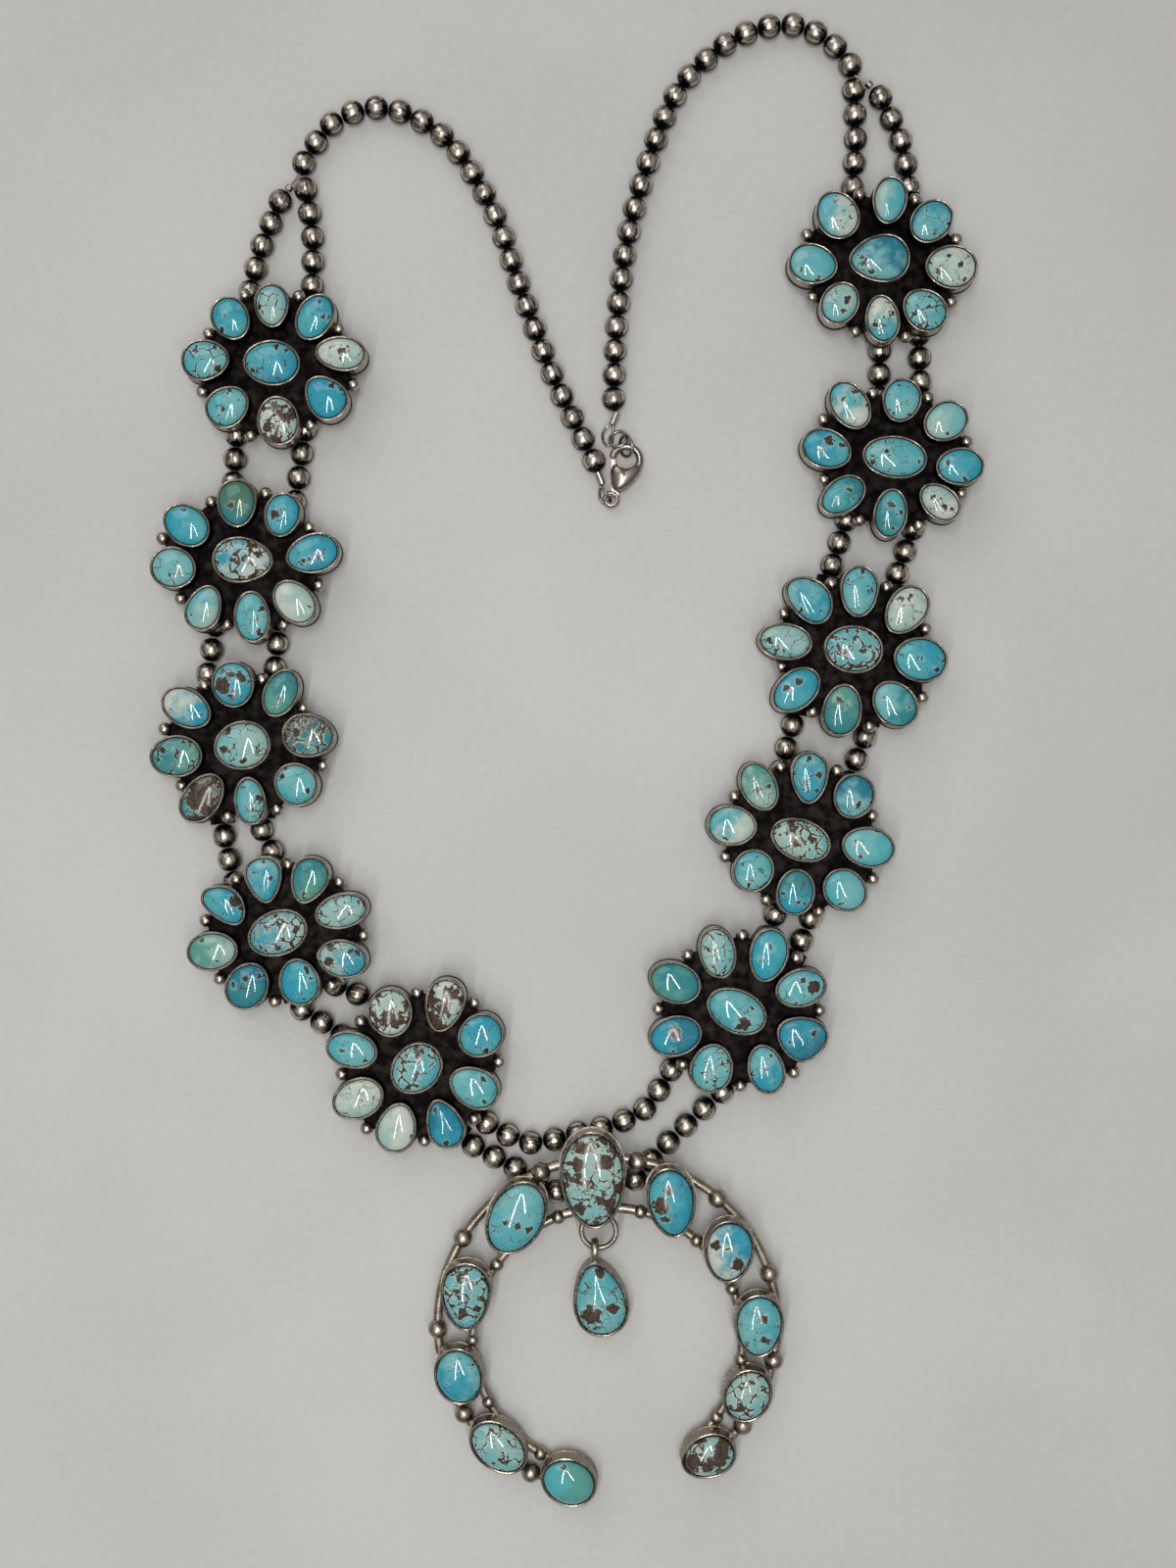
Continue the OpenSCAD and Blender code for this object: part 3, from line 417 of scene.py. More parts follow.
@dataclass(frozen=True)
class Turquoise:
    """Polished turquoise whose colours and matrix come from each stone's own attributes."""

    roughness: float = 0.05
    brown: Point = (0.40, 0.31, 0.23)
    black: Point = (0.12, 0.11, 0.10)
    halo: Point = (0.80, 0.85, 0.79)
    warp: float = 2.4
    ragged: float = 3.4
    blot_scale: float = 0.27
    web_scale: float = 0.42
    web_width: float = 0.085
    speck_scale: float = 1.15
    edge_shade: float = 0.8

    def build(self) -> Material:
        """Returns the material."""
        s = Shader("turquoise")
        at = s.attribute("stone_at")
        patched, webbed, specked = s.parts(s.attribute("marks"))
        black, halo = rgba(self.black), rgba(self.halo)
        warp = s.noise(at, 0.55, 4.0, out="Color")
        bent = s.vector("ADD", at, s.vector("SCALE", warp, scale=self.warp))
        cloud = s.noise(at, 0.32, 4.0, 0.55)
        grain = s.noise(at, 1.7, 5.0, 0.65)
        fade = s.math("MULTIPLY_ADD", cloud, 2.0, s.attribute("fade_share", "Fac"))
        fade = s.ramp(fade, 1.15, 1.85)
        body = s.mix(fade, s.attribute("tint", "Color"), s.attribute("fade", "Color"))
        body = s.mix(s.times(s.ramp(grain, 0.55, 0.8), 0.18), body, halo)

        blot = s.noise(bent, self.blot_scale, 5.0, 0.62)
        blot = s.math("SUBTRACT", blot, s.math("MULTIPLY_ADD", patched, -0.34, 0.76))
        patch = s.ramp(blot, 0.0, 0.012)
        cells = s.node("TexVoronoi", feature="DISTANCE_TO_EDGE")
        web_away = s.fill(cells, Vector=bent, Scale=self.web_scale).outputs["Distance"]
        thick = s.ramp(s.noise(at, 0.45, 3.0), 0.36, 0.62, (0, self.web_width))
        thick = s.times(webbed, thick)
        web = s.math("LESS_THAN", web_away, thick)
        dots = s.noise(at, self.speck_scale, 3.0, 0.6)
        dots = s.math("SUBTRACT", dots, s.math("MULTIPLY_ADD", specked, -0.13, 0.76))
        speck = s.ramp(dots, 0.0, 0.015)
        away = self.spot_distance(s)
        spot = s.ramp(away, 0.05, -0.05)
        matrix = s.math("MAXIMUM", s.math("MAXIMUM", patch, web), s.math("MAXIMUM", speck, spot))

        # The stone is paler round its matrix, and the matrix darker at its own edge.
        near = s.math("LESS_THAN", web_away, s.times(thick, 2.6))
        near = s.math("MAXIMUM", s.ramp(blot, -0.045, -0.01), near)
        pale = s.times(near, s.times(webbed, 0.45))
        pale = s.math("MAXIMUM", pale, s.times(s.ramp(away, 0.75, 0.1), 0.25))
        body = s.mix(pale, body, halo)
        rock = s.mix(s.ramp(grain, 0.3, 0.7), rgba(self.brown), black)
        outline = s.times(s.ramp(away, -0.32, -0.04), spot)
        rock = s.mix(s.times(outline, 0.6), rock, black)
        rock = s.mix(s.times(s.attribute("black", "Fac"), 0.85), rock, black)
        # The narrow gap to the cup lies in shade.
        shade = s.ramp(s.attribute("stone_edge", "Fac"), 0.95, 0.99, (0, self.edge_shade))
        s.surface(
            Base_Color=s.mix(shade, s.mix(matrix, body, rock), black),
            Roughness=s.math("MULTIPLY_ADD", matrix, 0.12, self.roughness),
            IOR=1.6,
        )
        s.bump(s.times(matrix, -1.0), 0.12, 0.0001)
        return s.material

    def spot_distance(self, s: Shader) -> object:
        """The distance in millimetres outside the nearest chosen patch, with a ragged edge."""
        ragged = s.noise(s.attribute("stone_at"), 0.75, 5.0, 0.62, "Color")
        ragged = s.vector("SUBTRACT", ragged, (0.5, 0.5, 0.5))
        ragged = s.vector("SCALE", ragged, scale=self.ragged)
        moved = s.vector("ADD", s.attribute("stone_flat"), ragged)
        moved = s.vector("MULTIPLY", moved, (1.0, 1.0, 0.0))
        near = None
        for name, size in zip(SPOT_NAMES, s.parts(s.attribute("spot_sizes"))):
            away = s.math("SUBTRACT", s.vector("DISTANCE", moved, s.attribute(name)), size)
            near = away if near is None else s.math("MINIMUM", near, away)
        return near


@dataclass(frozen=True)
class Silver:
    """Worn silver with a faint grey tarnish, and painted shade on its undersides and steep sides.
    """

    name: str
    color: Point = (0.80, 0.76, 0.70)
    tarnish_and_shade_color: Point = (0.38, 0.35, 0.31)
    tarnish_share: float = 0.6
    roughness: float = 0.24
    relief: float = 0.1

    def build(self) -> Material:
        """Returns the material."""
        s = Shader(self.name)
        at = s.here()
        tarnish_and_shade = s.ramp(s.noise(at, 420.0, 4.0, 0.6), 0.38, 0.66, (0, self.tarnish_share))
        # Painted shade: undersides and steep sides turn towards the tarnish colour, as if they lay
        # in shade.
        low = s.ramp(s.parts(s.normal())[2], 0.5, -0.1, (0, 0.75))
        tarnish_and_shade = s.math("MAXIMUM", tarnish_and_shade, low)
        fine = s.noise(at, 2600.0)
        s.surface(
            Base_Color=s.mix(tarnish_and_shade, rgba(self.color), rgba(self.tarnish_and_shade_color)),
            Metallic=1.0,
            Roughness=s.ramp(fine, 0.2, 0.8, (self.roughness - 0.06, self.roughness + 0.1)),
        )
        s.bump(s.noise(at, 380.0), self.relief, 0.0003)
        return s.material


@dataclass(frozen=True)
class OxideAndPaintedLightSetting:
    """A cluster's setting: a dark plate and inner walls, oxide with painted shade, and bright
    balls, rims and outside, polish with a painted highlight.
    """

    name: str
    middle: Point
    bright: Point = (0.76, 0.72, 0.66)
    grey: Point = (0.155, 0.14, 0.135)
    dark: Point = (0.05, 0.043, 0.042)
    wall_dark: float = 4.6 * MM
    wall_bright: float = 6.4 * MM

    def build(self) -> Material:
        """Returns the material."""
        s = Shader(self.name)
        at = s.here()
        height = s.parts(at)[2]
        normal = s.normal()
        # Painted light: faces above the plate that point up, and walls that face away from the
        # cluster's middle, are bright, polish with a painted highlight; the plate and the lower,
        # inner walls stay dark, oxide with painted shade under and between the petals.
        outward = s.vector("NORMALIZE", s.vector("SUBTRACT", at, self.middle))
        facing = s.ramp(s.vector("DOT_PRODUCT", normal, outward), 0.1, 0.65)
        up = s.ramp(s.parts(normal)[2], 0.05, 0.6)
        ball = s.times(up, s.ramp(height, PLATE_TOP + 0.3 * MM, PLATE_TOP + 1.1 * MM))
        wall = s.times(facing, s.ramp(height, self.wall_dark, self.wall_bright))
        polish = s.math("MAXIMUM", ball, s.times(wall, 0.85))
        polish = s.times(polish, s.ramp(height, RIM_TOP - 0.5 * MM, RIM_TOP, (1.0, 0.55)))
        smudge = s.noise(at, 500.0, 4.0, 0.6)
        polish = s.times(polish, s.ramp(smudge, 0.25, 0.6, (0.65, 1.0)))
        tarnish_and_shade = s.mix(s.ramp(smudge, 0.38, 0.72), rgba(self.dark), rgba(self.grey))
        s.surface(
            Base_Color=s.mix(polish, tarnish_and_shade, rgba(self.bright)),
            Metallic=1.0,
            Roughness=s.ramp(polish, 0.0, 1.0, (0.52, 0.27)),
        )
        s.bump(s.noise(at, 700.0), 0.12, 0.0003)
        return s.material


@dataclass(frozen=True)
class BeadSilver:
    """A bead: a polished band round its middle between two blackened ends."""

    band: Point = (0.82, 0.78, 0.72)
    scratch: Point = (0.36, 0.33, 0.30)
    end: Point = (0.09, 0.09, 0.085)
    end_scratch: Point = (0.33, 0.32, 0.30)
    brush: Point = (0.22, 1.7, 1.7)

    def build(self) -> Material:
        """Returns the material."""
        s = Shader("bead_silver")
        at = s.attribute("bead_at")
        # Brush marks run with the thread, across the polished band.
        brushed = s.fill(s.node("Mapping"), Scale=self.brush, Vector=at)
        streak = s.noise(brushed.outputs[0], 1.0, 3.0, 0.7)
        soft = s.noise(at, 0.7)
        ragged = s.math("MULTIPLY_ADD", streak, 1.1, s.math("MULTIPLY_ADD", soft, 0.3, -0.7))
        along = s.math("ABSOLUTE", s.attribute("bead_along", "Fac"))
        polish = s.ramp(s.math("ADD", along, ragged), 0.40, 0.66, (1, 0))
        band = s.mix(s.ramp(streak, 0.47, 0.60, (0, 0.85)), rgba(self.band), rgba(self.scratch))
        end = s.mix(s.ramp(streak, 0.36, 0.48, (0.6, 0)), rgba(self.end), rgba(self.end_scratch))
        # Painted shade: sides that turn away from the sky darken towards the black of the ends, as
        # if in shadow.
        low = s.ramp(s.parts(s.normal())[2], 0.52, 0.18, (0, 0.85))
        s.surface(
            Base_Color=s.mix(low, s.mix(polish, end, band), rgba(self.end)),
            Metallic=1.0,
            Roughness=s.ramp(polish, 0.0, 1.0, (0.40, 0.27)),
        )
        s.bump(streak, 0.10, 0.0002)
        return s.material


@dataclass(frozen=True)
class Table:
    """A pale, matt table top with faint clouding."""

    color: Point = (0.795, 0.792, 0.782)
    cloud: Point = (0.765, 0.762, 0.753)

    def build(self) -> Material:
        """Returns the material."""
        s = Shader("pale_table")
        at = s.here()
        cloudy = s.math("ADD", s.noise(at, 14.0, 4.0), s.times(s.noise(at, 700.0, 3.0), 0.5))
        s.surface(
            Base_Color=s.mix(s.ramp(cloudy, 0.55, 0.95), rgba(self.color), rgba(self.cloud)),
            Roughness=0.62,
            Specular_IOR_Level=0.25,
        )
        s.bump(s.noise(at, 1500.0, 3.0), 0.1, 0.0002)
        return s.material


@dataclass
class Loose:
    """One loose solid of a CAD node: its points, and its faces' middles, normals and areas."""

    points: list[Vector]
    faces: list[tuple[Vector, Vector, float]]

    def middle(self) -> Vector:
        """The middle of its box."""
        low = Vector(min(p[i] for p in self.points) for i in range(3))
        high = Vector(max(p[i] for p in self.points) for i in range(3))
        return (low + high) / 2


def loose_solids(node: str) -> list[Loose]:
    """A CAD node's loose solids, in the order of their first points."""
    bm = bmesh.new()
    bm.from_mesh(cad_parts[node].data)
    bmesh.ops.remove_doubles(bm, verts=bm.verts, dist=SAME_POINT)
    seen: set[int] = set()
    found = []
    for start in bm.verts:
        if start.index in seen:
            continue
        stack, points, faces = [start], [], {}
        seen.add(start.index)
        while stack:
            vert = stack.pop()
            points.append(vert.co.copy())
            for face in vert.link_faces:
                faces[face.index] = face
            for edge in vert.link_edges:
                other = edge.other_vert(vert)
                if other.index not in seen:
                    seen.add(other.index)
                    stack.append(other)
        sides = [(f.calc_center_median(), f.normal.copy(), f.calc_area()) for f in faces.values()]
        found.append(Loose(points, sides))
    bm.free()
    return found


def ball_tops(node: str, height: float) -> list[Vector]:
    """The tops of the balls on a CAD node, one point for each ball."""
    tops: list[Vector] = []
    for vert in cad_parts[node].data.vertices:
        known = any((vert.co - top).length < CAD_BALL_RADIUS for top in tops)
        if abs(vert.co.z - height) < SAME_HEIGHT and not known:
            tops.append(vert.co.copy())
    return tops


def naja_point(x: float, y: float, z: float) -> Vector:
    """A point of the crescent, in millimetres over its own floor, as a point of the CAD frame."""
    turned = Matrix.Rotation(NAJA_TILT, 3, "X") @ Vector((0, y - NAJA_LOW, z))
    return Vector((NAJA_MIDDLE[0] + x, NAJA_MIDDLE[1] + NAJA_LOW + turned.y, turned.z)) * MM


class Mesh:
    """Points, faces and point attributes of one piece under construction."""

    WIRE_SIDES = 12
    # Blender's words for attributes of one, three and four numbers.
    KINDS = {1: ("FLOAT", "value"), 3: ("FLOAT_VECTOR", "vector"), 4: ("FLOAT_COLOR", "color")}

    def __init__(self) -> None:
        self.points: list[Vector] = []
        self.faces: list[tuple[int, ...]] = []
        self.values: dict[str, tuple[int, list[float]]] = {}

    def attribute(self, name: str, value: tuple[float, ...] | float, count: int = 1) -> None:
        """Adds the same value of an attribute for the next count points."""
        flat = list(value) if isinstance(value, tuple) else [value]
        self.values.setdefault(name, (len(flat), []))[1].extend(flat * count)

    def rings(self, rings: list[list[Vector]], capped: bool = True) -> None:
        """Adds a skin through rings that run counter-clockwise seen from the last one."""
        base, n = len(self.points), len(rings[0])
        for ring in rings:
            self.points.extend(ring)
        for i in range(len(rings) - 1):
            for k in range(n):
                a, b = base + i * n + k, base + i * n + (k + 1) % n
                self.faces.append((a, b, b + n, a + n))
        if capped:
            self.faces.append(tuple(base + k for k in reversed(range(n))))
            self.faces.append(tuple(base + (len(rings) - 1) * n + k for k in range(n)))

    def loop(self, sections: list[list[Vector]]) -> None:
        """Adds a closed tube through sections that run round in a circle."""
        base, n, count = len(self.points), len(sections[0]), len(sections)
        for section in sections:
            self.points.extend(section)
        for i in range(count):
            for k in range(n):
                a, b = base + i * n, base + (i + 1) % count * n
                self.faces.append((a + k, b + k, b + (k + 1) % n, a + (k + 1) % n))

    def ball(self, middle: Vector, radius: float, around: int = 18, steps: int = 11) -> None:
        """Adds a ball."""
        rings = []
        for i in range(1, steps):
            flat, z = sin(pi * i / steps), -cos(pi * i / steps)
            rings.append([
                middle + radius * Vector((flat * cos(t), flat * sin(t), z))
                for t in turns(around)
            ])
        self.rings(rings)

    def ring(self, middle: Vector, first: Vector, second: Vector, radius: float,
             wire: Pair, around: int = 48) -> None:
        """Adds a wire ring.

        Args:
            middle: the ring's middle.
            first: a unit direction in the ring's plane.
            second: the other one.
            radius: the radius of the wire's middle line.
            wire: the wire's half thickness in the plane and across it.
            around: how many sections it has.
        """
        axis = first.cross(second)
        sections = []
        for angle in turns(around):
            out = cos(angle) * first + sin(angle) * second
            sections.append([
                middle + (radius + wire[0] * cos(t)) * out + wire[1] * sin(t) * axis
                for t in turns(self.WIRE_SIDES)
            ])
        self.loop(sections)

    def tube(self, line: list[Vector], radius: float, around: int = 20) -> None:
        """Adds a round rod with closed ends along a line that lies nearly level."""
        sections = []
        for i, at in enumerate(line):
            way = (line[min(i + 1, len(line) - 1)] - line[max(i - 1, 0)]).normalized()
            side = Vector((way.y, -way.x, 0)).normalized()
            up = side.cross(way)
            sections.append([
                at + radius * (cos(t) * side + sin(t) * up) for t in turns(around)
            ])
        self.rings(sections)

    def piece(
        self, name: str, material: Material, slot: str, replaced: tuple[str, ...] = (),
        sharp: float = 40.0,
    ) -> None:
        """Makes the object, which rides on the necklace.

        Args:
            name: the piece's name.
            material: its finish.
            slot: a material slot's name; not used.
            replaced: CAD nodes that it stands for.
            sharp: the angle in degrees above which an edge stays sharp.
        """
        data = bpy.data.meshes.new(name)
        data.from_pydata([tuple(p) for p in self.points], [], self.faces)
        for key, (size, values) in self.values.items():
            kind, word = self.KINDS[size]
            data.attributes.new(key, kind, "POINT").data.foreach_set(word, values)
        data.polygons.foreach_set("use_smooth", [True] * len(data.polygons))
        data.set_sharp_from_angle(angle=radians(sharp))
        data.materials.append(material)
        obj = add(name, data)
        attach(obj, NECKLACE)
        if replaced:
            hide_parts(*replaced)
        log.info("piece %s: %d faces", name, len(data.polygons))


@dataclass
class StoneForm:
    """A cabochon's outline and heights, read from its CAD solid.

    Args:
        solid: the CAD solid.
        tilt: turn of the stone's floor about X, in radians.
    """

    solid: Loose
    tilt: float = 0.0
    outline: list[Vector] = field(init=False)
    base: float = field(init=False)
    girdle: float = field(init=False)
    top: float = field(init=False)

    def __post_init__(self) -> None:
        level = Matrix.Rotation(-self.tilt, 3, "X")
        self.upright = Matrix.Rotation(self.tilt, 3, "X")
        local = [level @ p for p in self.solid.points]
        self.base = min(p.z for p in local)
        self.top = max(p.z for p in local)
        ring = [p for p in local if p.z < self.base + 0.02 * MM]
        self.girdle = min(p.z for p in local if p.z > self.base + 0.5 * MM)
        self.middle = sum((Vector((p.x, p.y)) for p in ring), Vector((0, 0))) / len(ring)
        ring.sort(key=lambda p: atan2(p.y - self.middle.y, p.x - self.middle.x))
        self.outline = [Vector((p.x, p.y)) for p in ring]

    def curve(self, count: int, grow: float = 0.0) -> list[Vector]:
        """Points on the smooth outline, or outside it by grow, counter-clockwise."""
        points = [spline(self.outline, len(self.outline) * k / count) for k in range(count)]
        if not grow:
            return points
        grown = []
        for k, p in enumerate(points):
            way = (points[(k + 1) % count] - points[k - 1]).normalized()
            grown.append(p + grow * Vector((way.y, -way.x)))
        return grown

    def place(self, flat: Vector, height: float) -> Vector:
        """A point over the stone's own floor as a point of the CAD frame."""
        return self.upright @ Vector((flat.x, flat.y, height))

    def shell(self, edge: list[Vector], share: float, height: float) -> list[Vector]:
        """The edge drawn in to a share of its width, at a height over the stone's own floor."""
        return [self.place(self.middle + share * (p - self.middle), height) for p in edge]


class StoneMaker:
    """Builds polished stones and the rolled rims round them."""

    ROUND = 44
    SHELLS = 9
    LAST_SHELL = 86.0
    FOOT_SHARE = 0.96
    FOOT_HEIGHT = 0.3 * MM
    LIP_SIDES = 8
    LIP_WAVE = 0.05 * MM
    # How far apart in the noise two stones may lie, and the largest turn between them.
    APART = 400
    TURN = 6.283

    def __init__(self, seed: int) -> None:
        self.random = random.Random(seed)

    def stone(self, mesh: Mesh, form: StoneForm, look: StoneLook) -> None:
        """Adds one stone with its attributes to a piece."""
        edge = form.curve(self.ROUND)
        rings = [form.shell(edge, self.FOOT_SHARE, form.base)]
        rings.append([form.place(p, form.base + self.FOOT_HEIGHT) for p in edge])
        rise = form.top - form.girdle
        shares = [1.0, 1.0]
        for shell in range(self.SHELLS):
            angle = radians(self.LAST_SHELL * shell / (self.SHELLS - 1))
            shares.append(cos(angle))
            rings.append(form.shell(edge, shares[-1], form.girdle + sin(angle) * rise))
        before = len(mesh.points)
        mesh.rings(rings)
        count = len(mesh.points) - before
        for share in shares:
            mesh.attribute("stone_edge", share, self.ROUND)
        shift = Vector(self.random.uniform(-self.APART, self.APART) for _ in range(3))
        turn = Euler([self.random.uniform(0, self.TURN) for _ in range(3)]).to_matrix()
        middle = form.place(form.middle, form.girdle)
        way = radians(look.way)
        reach = max((p - form.middle).length for p in edge)
        for p in mesh.points[before:]:
            off = (p - middle) / MM
            mesh.attribute("stone_at", tuple(turn @ off + shift))
            mesh.attribute("stone_flat", (off.x, off.y, 0.0))
            along = ((p.x - middle.x) * cos(way) + (p.y - middle.y) * sin(way)) / reach
            mesh.attribute("fade_share", 0.5 + 0.45 * along)
        mesh.attribute("tint", rgba(look.tint.value), count)
        mesh.attribute("fade", rgba(look.fade.value), count)
        *marks, black = look.marks.value
        mesh.attribute("marks", tuple(marks), count)
        mesh.attribute("black", black, count)
        half_x = max(abs(p.x - form.middle.x) for p in edge) / MM
        half_y = max(abs(p.y - form.middle.y) for p in edge) / MM
        spots = [*look.spots, *[NO_SPOT] * len(SPOT_NAMES)][: len(SPOT_NAMES)]
        for name, (x, y, _) in zip(SPOT_NAMES, spots):
            mesh.attribute(name, (x * half_x, y * half_y, 0.0), count)
        sizes = tuple(size * sqrt(half_x * half_y) for _, _, size in spots)
        mesh.attribute("spot_sizes", sizes, count)

    def rim(self, mesh: Mesh, form: StoneForm, offset: float, radius: float, height: float) -> None:
        """Adds a rolled rim round a stone to a piece.

        Args:
            mesh: the piece.
            form: the stone's shape.
            offset: how far outside the stone the rim's middle line lies.
            radius: the rim's radius.
            height: the height of its middle line over the stone's own floor.
        """
        around = turns(self.LIP_SIDES)
        lines = [form.curve(self.ROUND, offset + radius * cos(t)) for t in around]
        waves = [self.random.uniform(0.8, 1.2) for _ in range(5)]
        sections = []
        for i, along in enumerate(turns(self.ROUND)):
            wave = sum(sin((k + 2) * along + 7 * w) for k, w in enumerate(waves))
            middle = height + self.LIP_WAVE * wave / 2
            sections.append([
                form.place(line[i], middle + radius * sin(t))
                for line, t in zip(lines, around)
            ])
        mesh.loop(sections)


@dataclass
class Cluster:
    """One cluster, l1 to r5: a setting, eight petals and a middle stone, with rims and balls."""

    key: str
    turquoise: Material
    rim_silver: Material
    ball_silver: Material
    rim_offset: float = 0.32 * MM
    rim_radius: float = 0.16 * MM
    ball_radius: float = 1.35 * MM
    # The petals are counted clockwise from this direction.
    first_way: float = radians(123)

    def build(self) -> None:
        """Makes the cluster's pieces."""
        key = self.key
        maker = StoneMaker(1000 + sum(ord(c) * 7**i for i, c in enumerate(key)))
        middle_solid = loose_solids(f"center_{key}")[0]
        middle = middle_solid.middle()

        def clockwise(solid: Loose) -> float:
            way = solid.middle() - middle
            return (self.first_way - atan2(way.y, way.x)) % (2 * pi)

        petals = [StoneForm(s) for s in sorted(loose_solids(f"petals_{key}"), key=clockwise)]
        center = StoneForm(middle_solid)
        chosen = CLUSTER_LOOKS[key]
        petal_mesh, center_mesh, rims, balls = Mesh(), Mesh(), Mesh(), Mesh()
        for form, look in zip(petals, chosen):
            maker.stone(petal_mesh, form, look)
        maker.stone(center_mesh, center, chosen[-1])
        for form in [*petals, center]:
            maker.rim(rims, form, self.rim_offset, self.rim_radius, RIM_TOP)
        stones = self.turquoise, "turquoise"
        petal_mesh.piece(f"petal_stones_{key}", *stones, (f"petals_{key}",))
        center_mesh.piece(f"middle_stone_{key}", *stones, (f"center_{key}",))
        rims.piece(f"rims_{key}", self.rim_silver, "silver_settings")
        for top in ball_tops(f"cluster_{key}", BALL_TOP):
            balls.ball(top - Vector((0, 0, CAD_BALL_RADIUS)), self.ball_radius)
        balls.piece(f"balls_{key}", self.ball_silver, "silver_settings")
        finish = OxideAndPaintedLightSetting(f"setting_{key}", (middle.x, middle.y, middle.z)).build()
        dress(f"cluster_{key}", finish)


@dataclass(frozen=True)
class BallRow:
    """The balls along one wire of the crescent, in millimetres and degrees.

    The wire's middle lies below the crescent's by the drop, and the balls' middles lie over the
    crescent's own floor by the height.
    """

    wire: float
    drop: float
    height: float
    radius: float
    faces: tuple[int, int]
    angles: tuple[float, ...]


BALL_ROWS = (
    BallRow(NAJA_RADIUS, 0.0, 1.8, 1.95, (26, 15),
            (113, 148, 181, 212, 243, 80, 50, 18.5, -12, -37)),
    BallRow(NAJA_INNER_RADIUS, NAJA_INNER_DROP, 1.35, 1.42, (22, 13),
            (111.5, 145, 180, 208, 240, 76, 49, 23, -8.5, -36)),
)


@dataclass
class Crescent:
    """The crescent and its drop."""

    turquoise: Material
    rim_silver: Material
    wire_silver: Material
    rim_offset: float = 0.36 * MM
    rim_radius: float = 0.23 * MM
    girdle_drop: float = 0.25 * MM
    loop_at: Point = (-1.8, 19.7, 1.8)
    loop_radius: float = 3.5 * MM
    loop_wire: Pair = (0.56 * MM, 0.56 * MM)
    bail_at: Point = (5.8 * MM, -99.75 * MM, 5.6 * MM)
    bail_radius: float = 1.87 * MM
    bail_wire: Pair = (0.49 * MM, 0.78 * MM)

    def build(self) -> None:
        """Makes the pieces of the crescent and the drop."""
        maker = StoneMaker(77)
        rims, drop_rim = Mesh(), Mesh()
        for node, words in NAJA_LOOKS.items():
            flat = node == "drop_stone"
            form = StoneForm(loose_solids(node)[0], 0.0 if flat else NAJA_TILT)
            mesh = Mesh()
            maker.stone(mesh, form, looks(words)[0])
            mesh.piece(f"polished_{node}", self.turquoise, "turquoise", (node,))
            target, height = drop_rim if flat else rims, form.girdle + self.girdle_drop
            maker.rim(target, form, self.rim_offset, self.rim_radius, height)
        balls, loop, bail = Mesh(), Mesh(), Mesh()
        for row in BALL_ROWS:
            for angle in map(radians, row.angles):
                x, y = row.wire * cos(angle), row.wire * sin(angle) - row.drop
                balls.ball(naja_point(x, y, row.height), row.radius * MM, *row.faces)
        balls.piece("balls_crescent", self.wire_silver, "silver_settings")
        east, north, up = Vector((1, 0, 0)), Vector((0, 1, 0)), Vector((0, 0, 1))
        sloping = Matrix.Rotation(NAJA_TILT, 3, "X") @ north
        loop.ring(naja_point(*self.loop_at), east, sloping, self.loop_radius, self.loop_wire)
        loop.piece("drop_loop", self.wire_silver, "silver_settings")
        bail.ring(Vector(self.bail_at), north, up, self.bail_radius, self.bail_wire)
        bail.piece("drop_bail", self.wire_silver, "silver_settings")
        rims.piece("rims_crescent", self.rim_silver, "silver_settings")
        drop_rim.piece("rim_drop", self.rim_silver, "silver_settings")
        dress("naja_setting", self.wire_silver)
        dress("drop_setting", self.wire_silver)


@dataclass
class BeadString:
    """A run of beads, rebuilt with a brushed band and a drilled mouth."""

    node: str
    silver: Material
    radius: float = 2.42 * MM
    mouth: float = 0.6 * MM
    bore_share: float = 0.98
    bore_depth: float = 0.55
    around: int = 28
    steps: int = 14

    def build(self) -> None:
        """Makes the run's piece."""
        mesh = Mesh()
        dice = random.Random(len(self.node) * 31 + ord(self.node[6]))
        for solid in loose_solids(self.node):
            self.bead(mesh, solid, dice)
        mesh.piece(f"string_{self.node}", self.silver, "silver_beads", (self.node,), sharp=60.0)

    def axis(self, solid: Loose, middle: Vector) -> Vector:
        """The direction of a bead's bore, from the normals of the faces inside it."""
        inside = [(n, a) for c, n, a in solid.faces if (c - middle).dot(n) < 0]
        ways = [Vector((cos(t), sin(t), 0)) for t in map(radians, range(180))]
        return min(ways, key=lambda way: sum(a * way.dot(n) ** 2 for n, a in inside))

    def bead(self, mesh: Mesh, solid: Loose, dice: random.Random) -> None:
        """Adds one bead."""
        middle = solid.middle()
        way = self.axis(solid, middle)
        side, up = Vector((-way.y, way.x, 0)), Vector((0, 0, 1))
        first = asin(self.mouth / self.radius)
        bore, deep = self.mouth * self.bore_share, self.radius * cos(first) * self.bore_depth
        reach = [(bore, -deep)]
        for i in range(self.steps + 1):
            angle = first + (pi - 2 * first) * i / self.steps
            reach.append((self.radius * sin(angle), -self.radius * cos(angle)))
        reach.append((bore, deep))
        before = len(mesh.points)
        mesh.rings([
            [middle + x * way + r * (cos(t) * side + sin(t) * up)
             for t in turns(self.around)]
            for r, x in reach
        ], capped=False)
        base = before + (len(reach) - 1) * self.around
        for k in range(self.around):
            k2 = (k + 1) % self.around
            mesh.faces.append((base + k, base + k2, before + k2, before + k))
        shift = Vector(dice.uniform(-99, 99) for _ in range(3))
        for p in mesh.points[before:]:
            off = (p - middle) / MM
            local = Vector((off.dot(way), off.dot(side), off.dot(up)))
            mesh.attribute("bead_at", tuple(local + shift))
            mesh.attribute("bead_along", local.x / (self.radius / MM))


